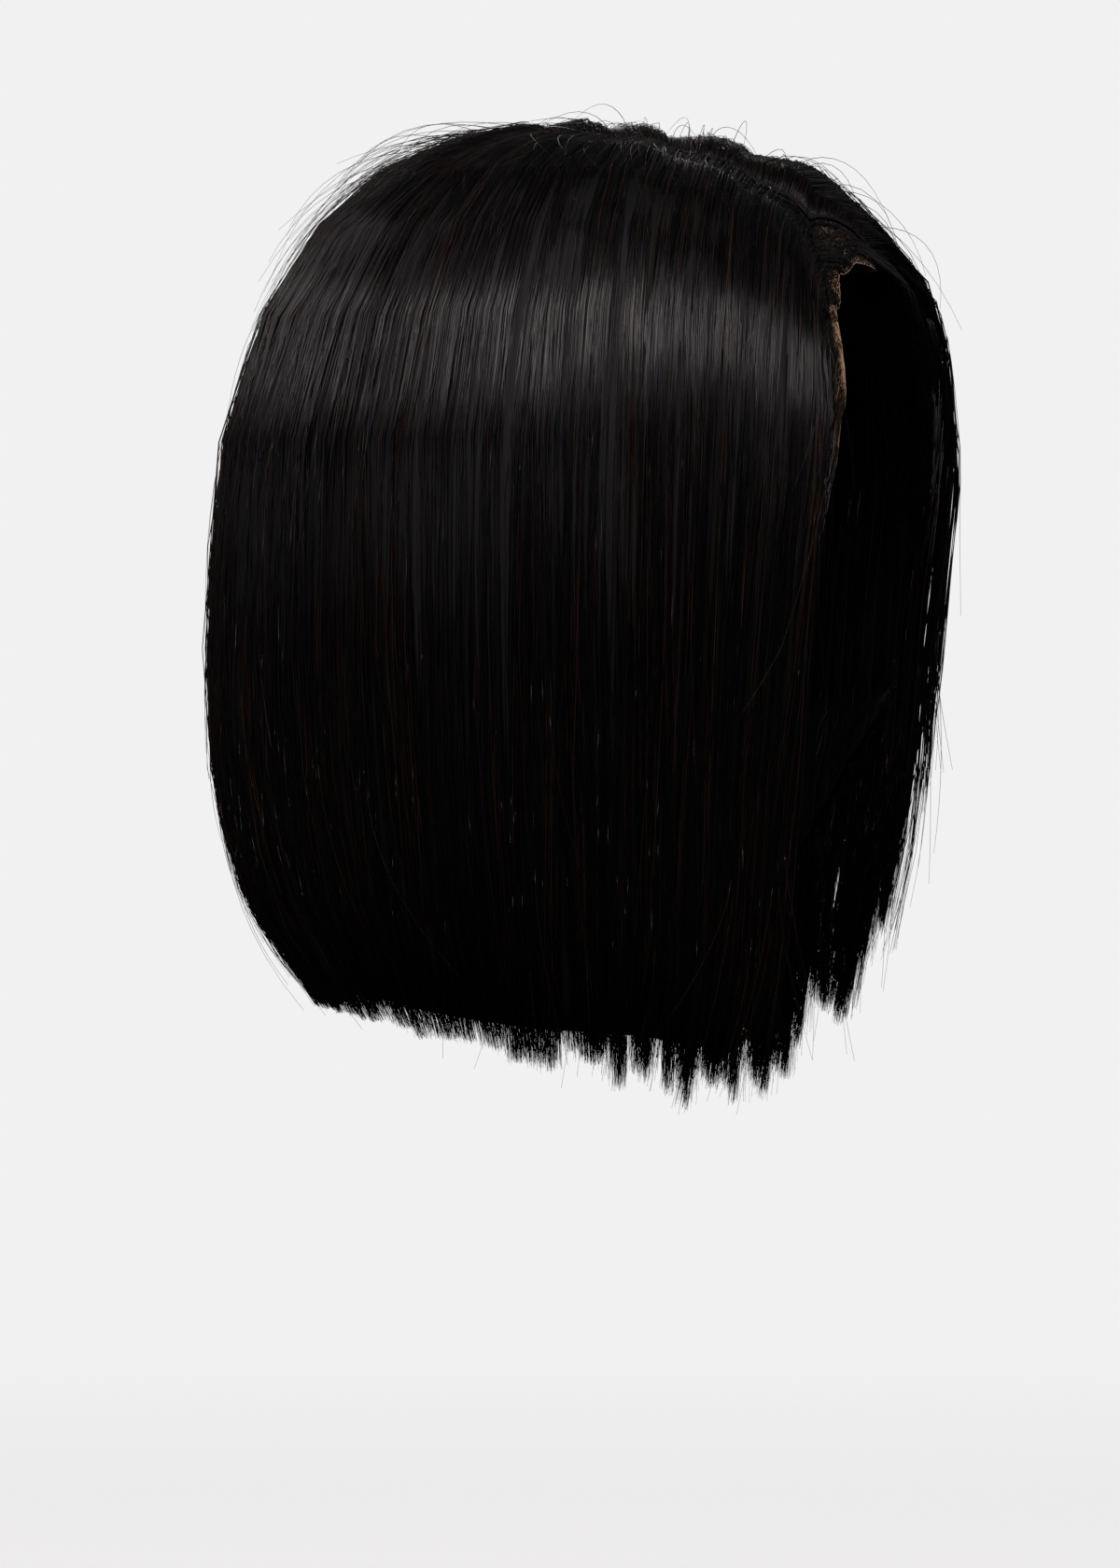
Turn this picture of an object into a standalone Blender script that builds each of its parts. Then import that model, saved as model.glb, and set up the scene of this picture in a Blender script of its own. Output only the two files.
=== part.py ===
"""Lace front wig: a straight A-line bob with a zigzag side parting, shaped as a head holds it.

The frame has +Z up, -Y towards the face and +X towards the wearer's left. The origin is the point
inside the crown of the cap that rests on top of the head. Lengths are in metres, angles in degrees.
Angles round the head start at the face and pass the wearer's right side, the back and the left side.
"""

import math
import random
from collections import namedtuple

import bmesh
import bpy
from mathutils import Vector

# The head that the cap is made for.
HEAD_LENGTH = 0.196
HEAD_BREADTH = 0.150
HEAD_CROWN_HEIGHT = 0.105  # from the top of the head down to its widest level
HEAD_SQUARENESS = 2.3  # exponent of the crown's curve, where 2 is an ellipse

# The cap, a stretch net, and the sheer lace panel sewn along its front.
CAP_WALL = 0.0015
CAP_NAPE_DROP = 0.168  # from the top of the head down to the nape edge
CAP_NAPE_NARROWING = 0.30  # share by which the neck is narrower there than the head
CAP_JOIN = 37.5  # angle from the face's centre line where the crown piece leaves the lace
CAP_SEAM = 0.0004  # gap between two panels of the cap
LACE_WALL = 0.0010
LACE_DEPTH = 0.028  # from the hairline back to the seam with the cap
LACE_SPAN = 55.0  # angle from the face's centre line to each end of the lace
LACE_SEAM = 0.0004  # gap between the lace and the cap

# The hair's outer form, as depths over the head.
HAIR_CROWN_DEPTH = 0.0108
HAIR_SIDE_DEPTH = 0.020
HAIR_BACK_DEPTH = 0.024
HAIR_FRONT_DEPTH = 0.0255
HAIR_WIDEST_DROP = 0.150  # from the top of the head down to where the hair hangs widest
HAIR_SQUARENESS = 2.5
SHOULDER_DROP = 0.090  # level where the hanging hair starts to drift forwards or back
FRONT_DROP = 0.290  # from the top of the head down to the longest tips, beside the chin
CURL = 3.2  # how late the ends turn in, where 1 is a straight slope

# Thickness and seating of the hair.
HAIR_SEAT = 0.0013  # from the cap to the hair over it, measured on the true curves
FRINGE_WALL = 0.0060  # hair that hangs free of the cap, round the face
HEM_WALL = 0.0045
HEM_BEVEL = 0.0040  # the inner hair ends this much above the outer hair
SECTION_GAP = 0.0004
ROOT_HEIGHT = 0.0018  # least height of the hair over the cap, at the parting

# The root line runs from the right temple to the parting's front, along the parting, round the
# crown and back, then over the forehead. Spots are shares of half the head's breadth and length.
TEMPLE_ROOT = (-0.66, -0.66)
PARTING_FRONT = (-0.43, -0.60)
PARTING_CROWN = (-0.17, 0.12)
FRINGE_ROOT = (0.10, -0.84)
PARTING_WIDTH = 0.0020
PARTING_ZIGZAG = 0.0022
PARTING_ZIGZAGS = 3.5
CROWN_RADIUS = 0.0055  # the roots run round this small arc at the crown
ROOT_SHARES = (0.10, 0.44, 0.56, 0.90)  # where each stretch of the root line ends

# Locks: ridges and grooves on the outside, and pointed ends at the hem.
LOCKS = 3  # in each section
LOCK_RELIEF = 0.0014
LOCK_TIP = 0.0050
TUFT_HEIGHT = 0.0028  # the lifted tufts along the left of the parting
DOME_STEPS = 7
FALL_STEPS = 5

# The lower layer at the nape, under the back hair.
NAPE_LAYER_TOP = 0.124
NAPE_LAYER_DROP = 0.236
NAPE_LAYER_SEAT = 0.0006  # from the cap to this layer's sewn edge
NAPE_LAYER_EDGE = 0.0016
NAPE_LAYER_WALL = 0.0090
NAPE_LAYER_GAP = 0.0032
NAPE_COLUMNS = 8
NAPE_STEPS = 6

# The thin lock that falls clear of the fringe.
WISP_WIDTH = 0.0050
WISP_THICKNESS = 0.0024
WISP_START = 0.0030  # from the fringe to the middle of the lock at its top
WISP_CLEARANCE = 0.0042
WISP_PLACE = 13.80
WISP_WAYS = (0.36, 1.55)
WISP_STEPS = 14

# One row for each line where two sections of hair meet, from the right front edge round the back to
# the fringe. root: share along the root line. hang: angle where it hangs. girth: share of the widest
# outline. lift: how full it stands at the root, from 0 on the cap to 1. rise: share of the way down
# the crown where it is full. leave: share where its inside leaves the cap. bow: how far it swings
# forwards on the way, as a share of HEAD_LENGTH. turn: degrees it drifts by the hem. tuck: the hem's share of the widest
# outline. drop: the hem's share of FRONT_DROP. rag: how far its tips vary, in shares of LOCK_TIP.
Line = namedtuple("Line", "root hang girth lift rise leave bow turn tuck drop rag")
LINES = (
    Line(0.000, 59.5, 1.015, 0.30, 1.00, 0.70, 0.000, 7.0, 0.925, 0.952, 1.6),
    Line(0.120, 70.0, 1.010, 0.30, 0.95, 0.90, 0.000, 4.0, 0.905, 0.985, 1.6),
    Line(0.270, 86.0, 1.000, 0.35, 0.70, 1.20, 0.000, 0.5, 0.865, 0.958, 1.4),
    Line(0.370, 104.0, 1.000, 0.45, 0.50, 1.20, 0.000, -1.0, 0.825, 0.935, 0.9),
    Line(0.430, 124.0, 1.000, 0.60, 0.45, 1.20, 0.000, -2.0, 0.775, 0.918, 0.7),
    Line(0.455, 146.0, 1.000, 0.76, 0.40, 1.20, 0.000, -2.5, 0.745, 0.897, 0.6),
    Line(0.478, 168.0, 1.000, 0.86, 0.40, 1.20, 0.000, -1.0, 0.732, 0.886, 0.6),
    Line(0.500, 190.0, 1.000, 0.89, 0.40, 1.20, 0.000, 0.0, 0.735, 0.884, 0.6),
    Line(0.522, 212.0, 1.000, 0.87, 0.40, 1.20, 0.000, 1.5, 0.745, 0.890, 0.6),
    Line(0.545, 234.0, 1.000, 0.74, 0.45, 1.20, 0.000, 1.5, 0.775, 0.905, 0.7),
    Line(0.620, 256.0, 1.000, 0.52, 0.60, 1.20, 0.000, 1.0, 0.825, 0.925, 0.9),
    Line(0.700, 274.0, 1.000, 0.32, 0.80, 1.20, 0.020, 1.0, 0.860, 0.950, 1.2),
    Line(0.800, 291.0, 1.005, 0.24, 1.00, 1.00, 0.066, 3.0, 0.905, 0.960, 1.4),
    Line(0.895, 308.0, 1.020, 0.28, 0.75, 0.60, 0.080, -3.0, 0.925, 0.925, 1.6),
    Line(1.000, 324.5, 1.060, 0.12, 0.60, 0.25, 0.036, -6.0, 0.985, 0.830, 1.8),
)
SECTIONS = (
    "right_face_hair",
    "right_front_hair",
    "right_side_hair",
    "right_rear_hair",
    "back_outer_right_hair",
    "back_inner_right_hair",
    "back_centre_hair",
    "back_inner_left_hair",
    "back_outer_left_hair",
    "left_rear_hair",
    "left_side_hair",
    "left_front_hair",
    "swept_top_hair",
    "swept_fringe",
)
TUFTED = ("left_rear_hair", "left_side_hair", "left_front_hair", "swept_top_hair")
NAPE_SECTIONS = (
    ("nape_layer_right", 4.15, 5.4),
    ("nape_layer_centre", 5.4, 7.6),
    ("nape_layer_left", 7.6, 8.85),
)

# The cap's edge on one side: angle from the face, and depth as a share of CAP_NAPE_DROP.
CAP_EDGE = (
    (0.0, 0.215),
    (22.0, 0.210),
    (34.0, 0.235),
    (41.0, 0.300),
    (45.0, 0.480),
    (49.0, 0.610),
    (58.0, 0.665),
    (70.0, 0.640),
    (80.0, 0.530),
    (95.0, 0.500),
    (108.0, 0.600),
    (121.0, 0.760),
    (140.0, 0.940),
    (160.0, 0.990),
    (180.0, 1.000),
)
CAP_CROWN_ROWS = 4
CAP_PANEL_ROWS = 6

# The cap's lower panels: name, first and last angle.
CAP_PANELS = (
    ("cap_right_side", CAP_JOIN + 1, 108.0),
    ("cap_right_back", 108.0, 180.0),
    ("cap_left_back", 180.0, 252.0),
    ("cap_left_side", 252.0, 359 - CAP_JOIN),
)
LACE_ROWS = 3

HAIR_COLOUR = (0.013, 0.010, 0.009, 1.0)
CAP_COLOUR = (0.020, 0.018, 0.018, 1.0)
LACE_COLOUR = (0.52, 0.35, 0.23, 1.0)


def smooth(low, high, value):
    """0 below low, 1 above high and a smooth step between them."""
    share = min(1.0, max(0.0, (value - low) / (high - low)))
    return share * share * (3 - 2 * share)


def blend(a, b, share):
    return a + (b - a) * share


def catmull(before, start, end, after, share):
    """The smooth curve through four even points, between the middle two."""
    square, cube = share * share, share**3
    return 0.5 * (
        2 * start
        + (end - before) * share
        + (2 * before - 5 * start + 4 * end - after) * square
        + (3 * start - before - 3 * end + after) * cube
    )


def line_at(place):
    """The row of LINES at a fractional place, smoothly read."""
    first = min(int(place), len(LINES) - 2)
    rows = [LINES[min(max(i, 0), len(LINES) - 1)] for i in range(first - 1, first + 3)]
    return Line(*(catmull(*values, place - first) for values in zip(*rows)))


# The head and the cap


def head_rim(angle, offset):
    """Plan position on the head's widest outline, grown by an offset."""
    turn = math.radians(angle)
    across = HEAD_BREADTH / 2 + offset
    along = HEAD_LENGTH / 2 + offset
    return Vector((-across * math.sin(turn), -along * math.cos(turn), 0))


def crown_height(reach, squareness):
    """Height of the crown's curve from 1 at its centre to 0 at its rim, at a share of the way out."""
    return max(0.0, 1 - min(reach, 1.0) ** squareness) ** (1 / squareness)


def over_head(plan, offset):
    """The point over a plan position, on the head grown by an offset."""
    reach = math.hypot(plan.x / (HEAD_BREADTH / 2 + offset), plan.y / (HEAD_LENGTH / 2 + offset))
    height = (HEAD_CROWN_HEIGHT + offset) * crown_height(reach, HEAD_SQUARENESS)
    return Vector((plan.x, plan.y, height - HEAD_CROWN_HEIGHT))


def down_head(angle, way, offset):
    """A point down the head's side: way 0 is the top, 1 the widest level, and more is below it."""
    if way <= 1:
        turn = math.radians(90 * way)
        reach = math.sin(turn) ** (2 / HEAD_SQUARENESS)
        rise = max(0.0, math.cos(turn)) ** (2 / HEAD_SQUARENESS)
        spot = head_rim(angle, offset) * reach
        spot.z = (HEAD_CROWN_HEIGHT + offset) * rise - HEAD_CROWN_HEIGHT
        return spot
    drop = (way - 1) * HEAD_CROWN_HEIGHT
    share = drop / (CAP_NAPE_DROP - HEAD_CROWN_HEIGHT)
    spot = head_rim(angle, offset) * (1 - CAP_NAPE_NARROWING * share * share)
    spot.z = -HEAD_CROWN_HEIGHT - drop
    return spot


def edge_way(angle):
    """How far down the head the cap's edge lies at an angle, in down_head's terms."""
    side = 180 - abs(180 - angle % 360)
    place = next(i for i in range(1, len(CAP_EDGE)) if side <= CAP_EDGE[i][0])
    (start, high), (end, low) = CAP_EDGE[place - 1 : place + 1]
    depth = CAP_NAPE_DROP * blend(high, low, smooth(start, end, side))
    if depth >= HEAD_CROWN_HEIGHT:
        return depth / HEAD_CROWN_HEIGHT
    rise = (1 - depth / HEAD_CROWN_HEIGHT) ** (HEAD_SQUARENESS / 2)
    return math.degrees(math.acos(rise)) / 90


def lace_depth(angle):
    """Depth of the lace at an angle, in down_head's terms, tapering to nothing at its two ends."""
    side = 180 - abs(180 - angle % 360)
    crown_arc = math.pi / 4 * (HEAD_CROWN_HEIGHT + HEAD_LENGTH / 2)
    return LACE_DEPTH / crown_arc * math.sqrt(max(0.0, 1 - (side / LACE_SPAN) ** 4))


def seam_way(angle, gap):
    """How far down the head the cap meets the lace, or its own edge where there is no lace."""
    depth = lace_depth(angle)
    return edge_way(angle) - depth + (gap / HEAD_CROWN_HEIGHT if depth else 0)


def cap_angles():
    """The cap's columns: each row of CAP_EDGE on both sides, one between each two, and the panels' start."""
    side = [row[0] for row in CAP_EDGE]
    half = sorted(side + [(a + b) / 2 for a, b in zip(side, side[1:])] + [CAP_PANELS[0][1]])
    return half + [360 - a for a in reversed(half[1:-1])]


def new_object(name, bm, colour, roughness):
    """Makes an object of a bmesh, with a material of its own."""
    bmesh.ops.recalc_face_normals(bm, faces=bm.faces)
    mesh = bpy.data.meshes.new(name)
    bm.to_mesh(mesh)
    bm.free()
    material = bpy.data.materials.new(name)
    material.use_nodes = True
    surface = material.node_tree.nodes["Principled BSDF"]
    surface.inputs["Base Color"].default_value = colour
    surface.inputs["Roughness"].default_value = roughness
    surface.inputs["Metallic"].default_value = 0.0
    mesh.materials.append(material)
    mesh.shade_smooth()
    mesh.set_sharp_from_angle(angle=math.radians(40))
    shown = bpy.data.objects.new(name, mesh)
    bpy.context.scene.collection.objects.link(shown)
    return shown


def slab(outer, inner):
    """One closed body between two equal grids of points, rows first."""
    bm = bmesh.new()
    grids = [[[bm.verts.new(p) for p in row] for row in grid] for grid in (outer, inner)]
    rows, columns = len(outer), len(outer[0])
    for grid in grids:
        for r in range(rows - 1):
            for c in range(columns - 1):
                bm.faces.new((grid[r][c], grid[r][c + 1], grid[r + 1][c + 1], grid[r + 1][c]))
    top, under = grids
    for c in (0, columns - 1):
        for r in range(rows - 1):
            bm.faces.new((top[r][c], top[r + 1][c], under[r + 1][c], under[r][c]))
    for r in (0, rows - 1):
        for c in range(columns - 1):
            bm.faces.new((top[r][c], top[r][c + 1], under[r][c + 1], under[r][c]))
    return bm


def crown_edge(angle):
    """How far down the head the cap's crown piece ends: at the lace in front, level behind it."""
    return seam_way(min(180 - abs(180 - angle % 360), CAP_JOIN), 0)


def build_cap_crown():
    """The cap's crown: a closed shallow dome of net that the lace and the lower panels are sewn to."""
    bm = bmesh.new()
    angles = cap_angles()
    skins = []
    for offset in (CAP_WALL, 0.0):
        pole = bm.verts.new(down_head(0, 0, offset))
        rings = []
        for row in range(1, CAP_CROWN_ROWS + 1):
            ways = [crown_edge(a) * row / CAP_CROWN_ROWS for a in angles]
            rings.append([bm.verts.new(down_head(a, w, offset)) for a, w in zip(angles, ways)])
        skins.append((pole, rings))
    count = len(angles)
    for pole, rings in skins:
        for c in range(count):
            bm.faces.new((pole, rings[0][c], rings[0][(c + 1) % count]))
            for upper, lower in zip(rings, rings[1:]):
                n = (c + 1) % count
                bm.faces.new((upper[c], lower[c], lower[n], upper[n]))
    outside, inside = skins[0][1][-1], skins[1][1][-1]
    for c in range(count):
        n = (c + 1) % count
        bm.faces.new((outside[c], inside[c], inside[n], outside[n]))
    return new_object("cap_crown", bm, CAP_COLOUR, 0.9)


def build_cap_panel(name, start, end):
    """One lower panel of the cap, from the crown piece down to the cap's edge."""
    gap = math.degrees(CAP_SEAM / HEAD_BREADTH)
    inside = [a for a in cap_angles() if start + 2 * gap < a < end - 2 * gap]
    angles = [start + gap] + inside + [end - gap]
    outer, inner = [], []
    for row in range(CAP_PANEL_ROWS + 1):
        share = row / CAP_PANEL_ROWS
        ways = [blend(crown_edge(a) + CAP_SEAM / HEAD_CROWN_HEIGHT, seam_way(a, 0), share) for a in angles]
        outer.append([down_head(a, w, CAP_WALL) for a, w in zip(angles, ways)])
        inner.append([down_head(a, w, 0.0) for a, w in zip(angles, ways)])
    return new_object(name, slab(outer, inner), CAP_COLOUR, 0.9)


def build_lace():
    """The lace front: a thin panel from the seam to the hairline, from temple to temple."""
    inside = [a for a in cap_angles() if 180 - abs(180 - a) < LACE_SPAN - 1]
    angles = sorted((a + 180) % 360 - 180 for a in inside)
    outer, inner = [], []
    for row in range(LACE_ROWS + 1):
        share = row / LACE_ROWS
        ways = [blend(seam_way(a, LACE_SEAM), edge_way(a), share) for a in angles]
        outer.append([down_head(a, w, LACE_WALL) for a, w in zip(angles, ways)])
        inner.append([down_head(a, w, 0.0) for a, w in zip(angles, ways)])
    return new_object("lace_front", slab(outer, inner), LACE_COLOUR, 0.8)


# The hair


def root_plan(share):
    """Plan position of the roots at a share of the root line."""
    half = Vector((HEAD_BREADTH / 2, HEAD_LENGTH / 2, 0))
    temple, front, crown, fringe = (
        Vector((half.x * spot[0], half.y * spot[1], 0))
        for spot in (TEMPLE_ROOT, PARTING_FRONT, PARTING_CROWN, FRINGE_ROOT)
    )
    along = (crown - front).normalized()
    left = Vector((along.y, -along.x, 0))
    front_right, crown_right, crown_left, front_left = ROOT_SHARES
    if share < front_right:
        return temple.lerp(front - left * PARTING_WIDTH / 2, max(0.0, share) / front_right)
    if share > front_left:
        start = front + left * PARTING_WIDTH / 2
        return start.lerp(fringe, (min(share, 1.0) - front_left) / (1 - front_left))
    if crown_right <= share <= crown_left:
        turn = math.pi * (share - crown_right) / (crown_left - crown_right)
        return crown + CROWN_RADIUS * (along * math.sin(turn) - left * math.cos(turn))
    if share < crown_right:
        way, side = (share - front_right) / (crown_right - front_right), -1
    else:
        way, side = (front_left - share) / (front_left - crown_left), 1
    wave = math.asin(math.sin(2 * math.pi * PARTING_ZIGZAGS * way)) * 2 / math.pi
    zigzag = PARTING_ZIGZAG * wave * (1 - smooth(0.75, 1.0, way))
    width = blend(PARTING_WIDTH / 2, CROWN_RADIUS, smooth(0.6, 1.0, way))
    return front.lerp(crown, way) + left * (zigzag + side * width)


def hair_rim(angle, reach):
    """Plan position on the hair's widest outline, at a share of its size."""
    turn = math.radians(angle)
    across = HEAD_BREADTH / 2 + HAIR_SIDE_DEPTH
    depth = HAIR_FRONT_DEPTH if math.cos(turn) > 0 else HAIR_BACK_DEPTH
    along = HEAD_LENGTH / 2 + depth
    return Vector((-across * math.sin(turn), -along * math.cos(turn), 0)) * reach


def outwards(spot):
    """The direction away from the head at a point: from the crown's centre, or level below it."""
    centre = Vector((0, 0, min(spot.z, -HEAD_CROWN_HEIGHT)))
    return (spot - centre).normalized()


def full_height(plan, girth):
    """Height of the full hair over a plan position."""
    across = HEAD_BREADTH / 2 + HAIR_SIDE_DEPTH
    along = HEAD_LENGTH / 2 + (HAIR_FRONT_DEPTH if plan.y < 0 else HAIR_BACK_DEPTH)
    reach = math.hypot(plan.x / across, plan.y / along) / girth
    height = HAIR_CROWN_DEPTH + HAIR_WIDEST_DROP
    return height * crown_height(reach, HAIR_SQUARENESS) - HAIR_WIDEST_DROP


def hair_points(place, way, tip):
    """Outer and inner point of the hair at a place round the head and a way down it.

    way runs from 0 at the root over the crown to 1 at the widest level, and on to 2 at the hem.
    tip is how much longer the hair is there than its line says.
    """
    line = line_at(place)
    root = root_plan(line.root)
    hem = FRONT_DROP * line.drop + tip
    over = math.sin(math.radians(90 * min(way, 1.0))) ** 0.9
    fall = max(0.0, way - 1)
    reach = blend(line.girth, line.tuck, fall**CURL)
    bow = Vector((0, -4 * line.bow * HEAD_LENGTH * over * (1 - over), 0))
    if way <= 1:
        height = full_height(root.lerp(hair_rim(line.hang, reach), over) + bow, line.girth)
    else:
        height = -blend(HAIR_WIDEST_DROP, hem, fall)
    drift = min(1.0, max(0.0, (-height - SHOULDER_DROP) / (hem - SHOULDER_DROP)))
    angle = line.hang + line.turn * (1 - (1 - drift) ** 1.9)
    full = root.lerp(hair_rim(angle, reach), over) + bow
    full.z = height
    seat = CAP_WALL + HAIR_SEAT
    inner = over_head(root.lerp(head_rim(angle, seat), over), seat)
    fullness = blend(line.lift, 1.0, smooth(0.0, line.rise, over))
    outer = inner.lerp(full, fullness)
    if (outer - inner).length < ROOT_HEIGHT:
        outer = inner + outwards(inner) * ROOT_HEIGHT
    wall = min(blend(FRINGE_WALL, HEM_WALL, fall), (outer - inner).length)
    if way > 1:
        end = full - outwards(full) * HEM_WALL
        end.z = full.z
        inner = inner.lerp(end, fall)
        inner.z = -blend(HEAD_CROWN_HEIGHT, hem - HEM_BEVEL, fall)
    free = outer - outwards(outer) * wall
    free.z += HEM_BEVEL * fall
    leaving = smooth(line.leave - 0.2, line.leave + 0.15, over)
    return outer, inner.lerp(free, leaving)


def lock_columns(rng):
    """Columns across one section: each has its share of the width, its relief and its tip."""
    widths = [rng.uniform(0.8, 1.2) for _ in range(LOCKS)]
    starts = [sum(widths[:i]) / sum(widths) for i in range(LOCKS + 1)]
    columns = [(0.0, 0.0, 0.0)]
    for start, end in zip(starts, starts[1:]):
        tip, relief = rng.uniform(0.3, 1.0), rng.uniform(0.6, 1.0)
        columns.append((blend(start, end, 0.32), relief, tip))
        columns.append((blend(start, end, 0.68), relief, tip * 0.8))
        columns.append((end, 0.0, 0.0))
    return columns


def build_hair(number, name):
    """One section of hair, from its root line to its hem, with its locks."""
    rng = random.Random(number + 11)
    columns = lock_columns(rng)
    ways = [i / DOME_STEPS for i in range(DOME_STEPS)]
    ways += [1 + i / FALL_STEPS for i in range(FALL_STEPS + 1)]
    outer, inner = [], []
    for way in ways:
        pairs = []
        for share, relief, tip in columns:
            place = number + share
            far, near = hair_points(place, way, LOCK_TIP * tip * line_at(place).rag)
            grown = LOCK_RELIEF * relief * smooth(0.1, 0.5, way)
            if name in TUFTED:
                tuft = math.sin(math.pi * share**1.6) * (1 - smooth(0.15, 0.55, way))
                grown += TUFT_HEIGHT * tuft
            pairs.append((far + outwards(far) * grown, near))
        for row, kind in ((outer, 0), (inner, 1)):
            spots = [pair[kind] for pair in pairs]
            first = (spots[1] - spots[0]).normalized() * SECTION_GAP / 2
            last = (spots[-2] - spots[-1]).normalized() * SECTION_GAP / 2
            spots[0] = spots[0] + first
            spots[-1] = spots[-1] + last
            row.append(spots)
    return new_object(name, slab(outer, inner), HAIR_COLOUR, 0.4)


def nape_points(place, share):
    """Outer and inner point of the lower layer, from its sewn edge down to its hem."""
    line = line_at(place)
    drop = blend(NAPE_LAYER_TOP, NAPE_LAYER_DROP, share)
    hem = FRONT_DROP * line.drop - HEM_BEVEL
    over = hair_points(place, 1 + (drop - HEAD_CROWN_HEIGHT) / (hem - HEAD_CROWN_HEIGHT), 0.0)[1]
    away = outwards(over)
    outer = over - away * NAPE_LAYER_GAP
    inner = outer - away * NAPE_LAYER_WALL
    way = min(drop, CAP_NAPE_DROP) / HEAD_CROWN_HEIGHT
    sewn = []
    for lift in (NAPE_LAYER_SEAT + NAPE_LAYER_EDGE, NAPE_LAYER_SEAT):
        spot = down_head(line.hang, way, CAP_WALL + lift)
        spot.z = over.z
        sewn.append(spot)
    outer = sewn[0].lerp(outer, smooth(0.0, 0.4, share))
    return outer, sewn[1].lerp(inner, smooth(0.1, 0.6, share))


def build_nape(name, start, end):
    """One part of the lower layer, which hangs from the back of the cap inside the back hair."""
    columns = [blend(start, end, i / NAPE_COLUMNS) for i in range(NAPE_COLUMNS + 1)]
    outer, inner = [], []
    for step in range(NAPE_STEPS + 1):
        pairs = [nape_points(place, step / NAPE_STEPS) for place in columns]
        for rows, kind in ((outer, 0), (inner, 1)):
            row = [pair[kind] for pair in pairs]
            row[0] = row[0] + (row[1] - row[0]).normalized() * SECTION_GAP / 2
            row[-1] = row[-1] + (row[-2] - row[-1]).normalized() * SECTION_GAP / 2
            rows.append(row)
    return new_object(name, slab(outer, inner), HAIR_COLOUR, 0.45)


def build_wisp():
    """The thin lock that hangs clear of the fringe's front edge."""
    middles = []
    for step in range(WISP_STEPS + 1):
        share = step / WISP_STEPS
        spot = hair_points(WISP_PLACE, blend(*WISP_WAYS, share), 0.0)[0]
        middles.append(spot + outwards(spot) * blend(WISP_START, WISP_CLEARANCE, smooth(0.0, 0.5, share)))
    outer, inner = [], []
    for step, middle in enumerate(middles):
        share = step / WISP_STEPS
        along = (middles[min(step + 1, WISP_STEPS)] - middles[max(step - 1, 0)]).normalized()
        across = along.cross(outwards(middle)).normalized()
        away = across.cross(along)
        size = 1 - 0.3 * abs(2 * share - 0.8) ** 2 / 1.44
        row = [middle + across * (WISP_WIDTH * size * side / 2) for side in (-1, 0, 1)]
        half = [away * (WISP_THICKNESS * size * thick / 2) for thick in (0.55, 1.0, 0.55)]
        outer.append([p + h for p, h in zip(row, half)])
        inner.append([p - h for p, h in zip(row, half)])
    return new_object("fringe_wisp", slab(outer, inner), HAIR_COLOUR, 0.4)


def main():
    for old in list(bpy.data.objects):
        bpy.data.objects.remove(old)
    build_cap_crown()
    for name, start, end in CAP_PANELS:
        build_cap_panel(name, start, end)
    build_lace()
    for number, name in enumerate(SECTIONS):
        build_hair(number, name)
    for name, start, end in NAPE_SECTIONS:
        build_nape(name, start, end)
    build_wisp()


main()
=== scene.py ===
"""Looks of the lace front wig: a black straight A-line bob, parted on the wearer's right.

The frame has +Z up, -Y towards the face and +X towards the wearer's left, in metres. The origin is the
point inside the crown of the cap that rests on the head. Angles round the head are in degrees, from the
face past the wearer's right side, the back and the left side.
"""

import math
import random

import bpy
import numpy as np
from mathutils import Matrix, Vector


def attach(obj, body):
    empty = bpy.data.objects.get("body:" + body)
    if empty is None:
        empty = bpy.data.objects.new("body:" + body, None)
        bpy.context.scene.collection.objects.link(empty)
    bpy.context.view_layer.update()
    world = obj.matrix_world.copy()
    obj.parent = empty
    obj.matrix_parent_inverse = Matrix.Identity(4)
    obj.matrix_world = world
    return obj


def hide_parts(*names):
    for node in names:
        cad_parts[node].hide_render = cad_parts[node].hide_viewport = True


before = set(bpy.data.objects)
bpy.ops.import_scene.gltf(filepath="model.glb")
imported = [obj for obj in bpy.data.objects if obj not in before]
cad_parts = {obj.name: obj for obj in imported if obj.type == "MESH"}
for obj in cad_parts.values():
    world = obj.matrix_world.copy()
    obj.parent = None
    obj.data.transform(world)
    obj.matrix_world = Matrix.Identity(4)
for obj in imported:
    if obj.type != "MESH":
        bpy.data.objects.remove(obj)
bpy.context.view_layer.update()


# Stretch cap: a crown piece and four lower panels of fine black nylon net, with ear tabs and a nape,
# sewn edge to edge and open below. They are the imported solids, given the net's mesh and dull surface.

HEAD_LENGTH = 0.196
HEAD_BREADTH = 0.150
HEAD_CROWN_HEIGHT = 0.105
HEAD_SQUARENESS = 2.3
CAP_WALL = 0.0015
CAP_NAPE_DROP = 0.168
CAP_NAPE_NARROWING = 0.30
CAP_EDGE = np.array(  # angle from the face, and the edge's depth as a share of CAP_NAPE_DROP
    (
        (0.0, 0.215), (22.0, 0.21), (34.0, 0.235), (41.0, 0.3), (45.0, 0.48),
        (49.0, 0.61), (58.0, 0.665), (70.0, 0.64), (80.0, 0.53), (95.0, 0.5),
        (108.0, 0.6), (121.0, 0.76), (140.0, 0.94), (160.0, 0.99), (180.0, 1.0),
    )
)
NET_PITCH = 0.0016  # drawn about twice as coarse as the real net, so that it shows


def linear(code):
    """An sRGB hex colour as Blender's linear colour."""
    parts = [int(code[i : i + 2], 16) / 255 for i in (1, 3, 5)]
    return tuple(c / 12.92 if c <= 0.04045 else ((c + 0.055) / 1.055) ** 2.4 for c in parts) + (1.0,)


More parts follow.
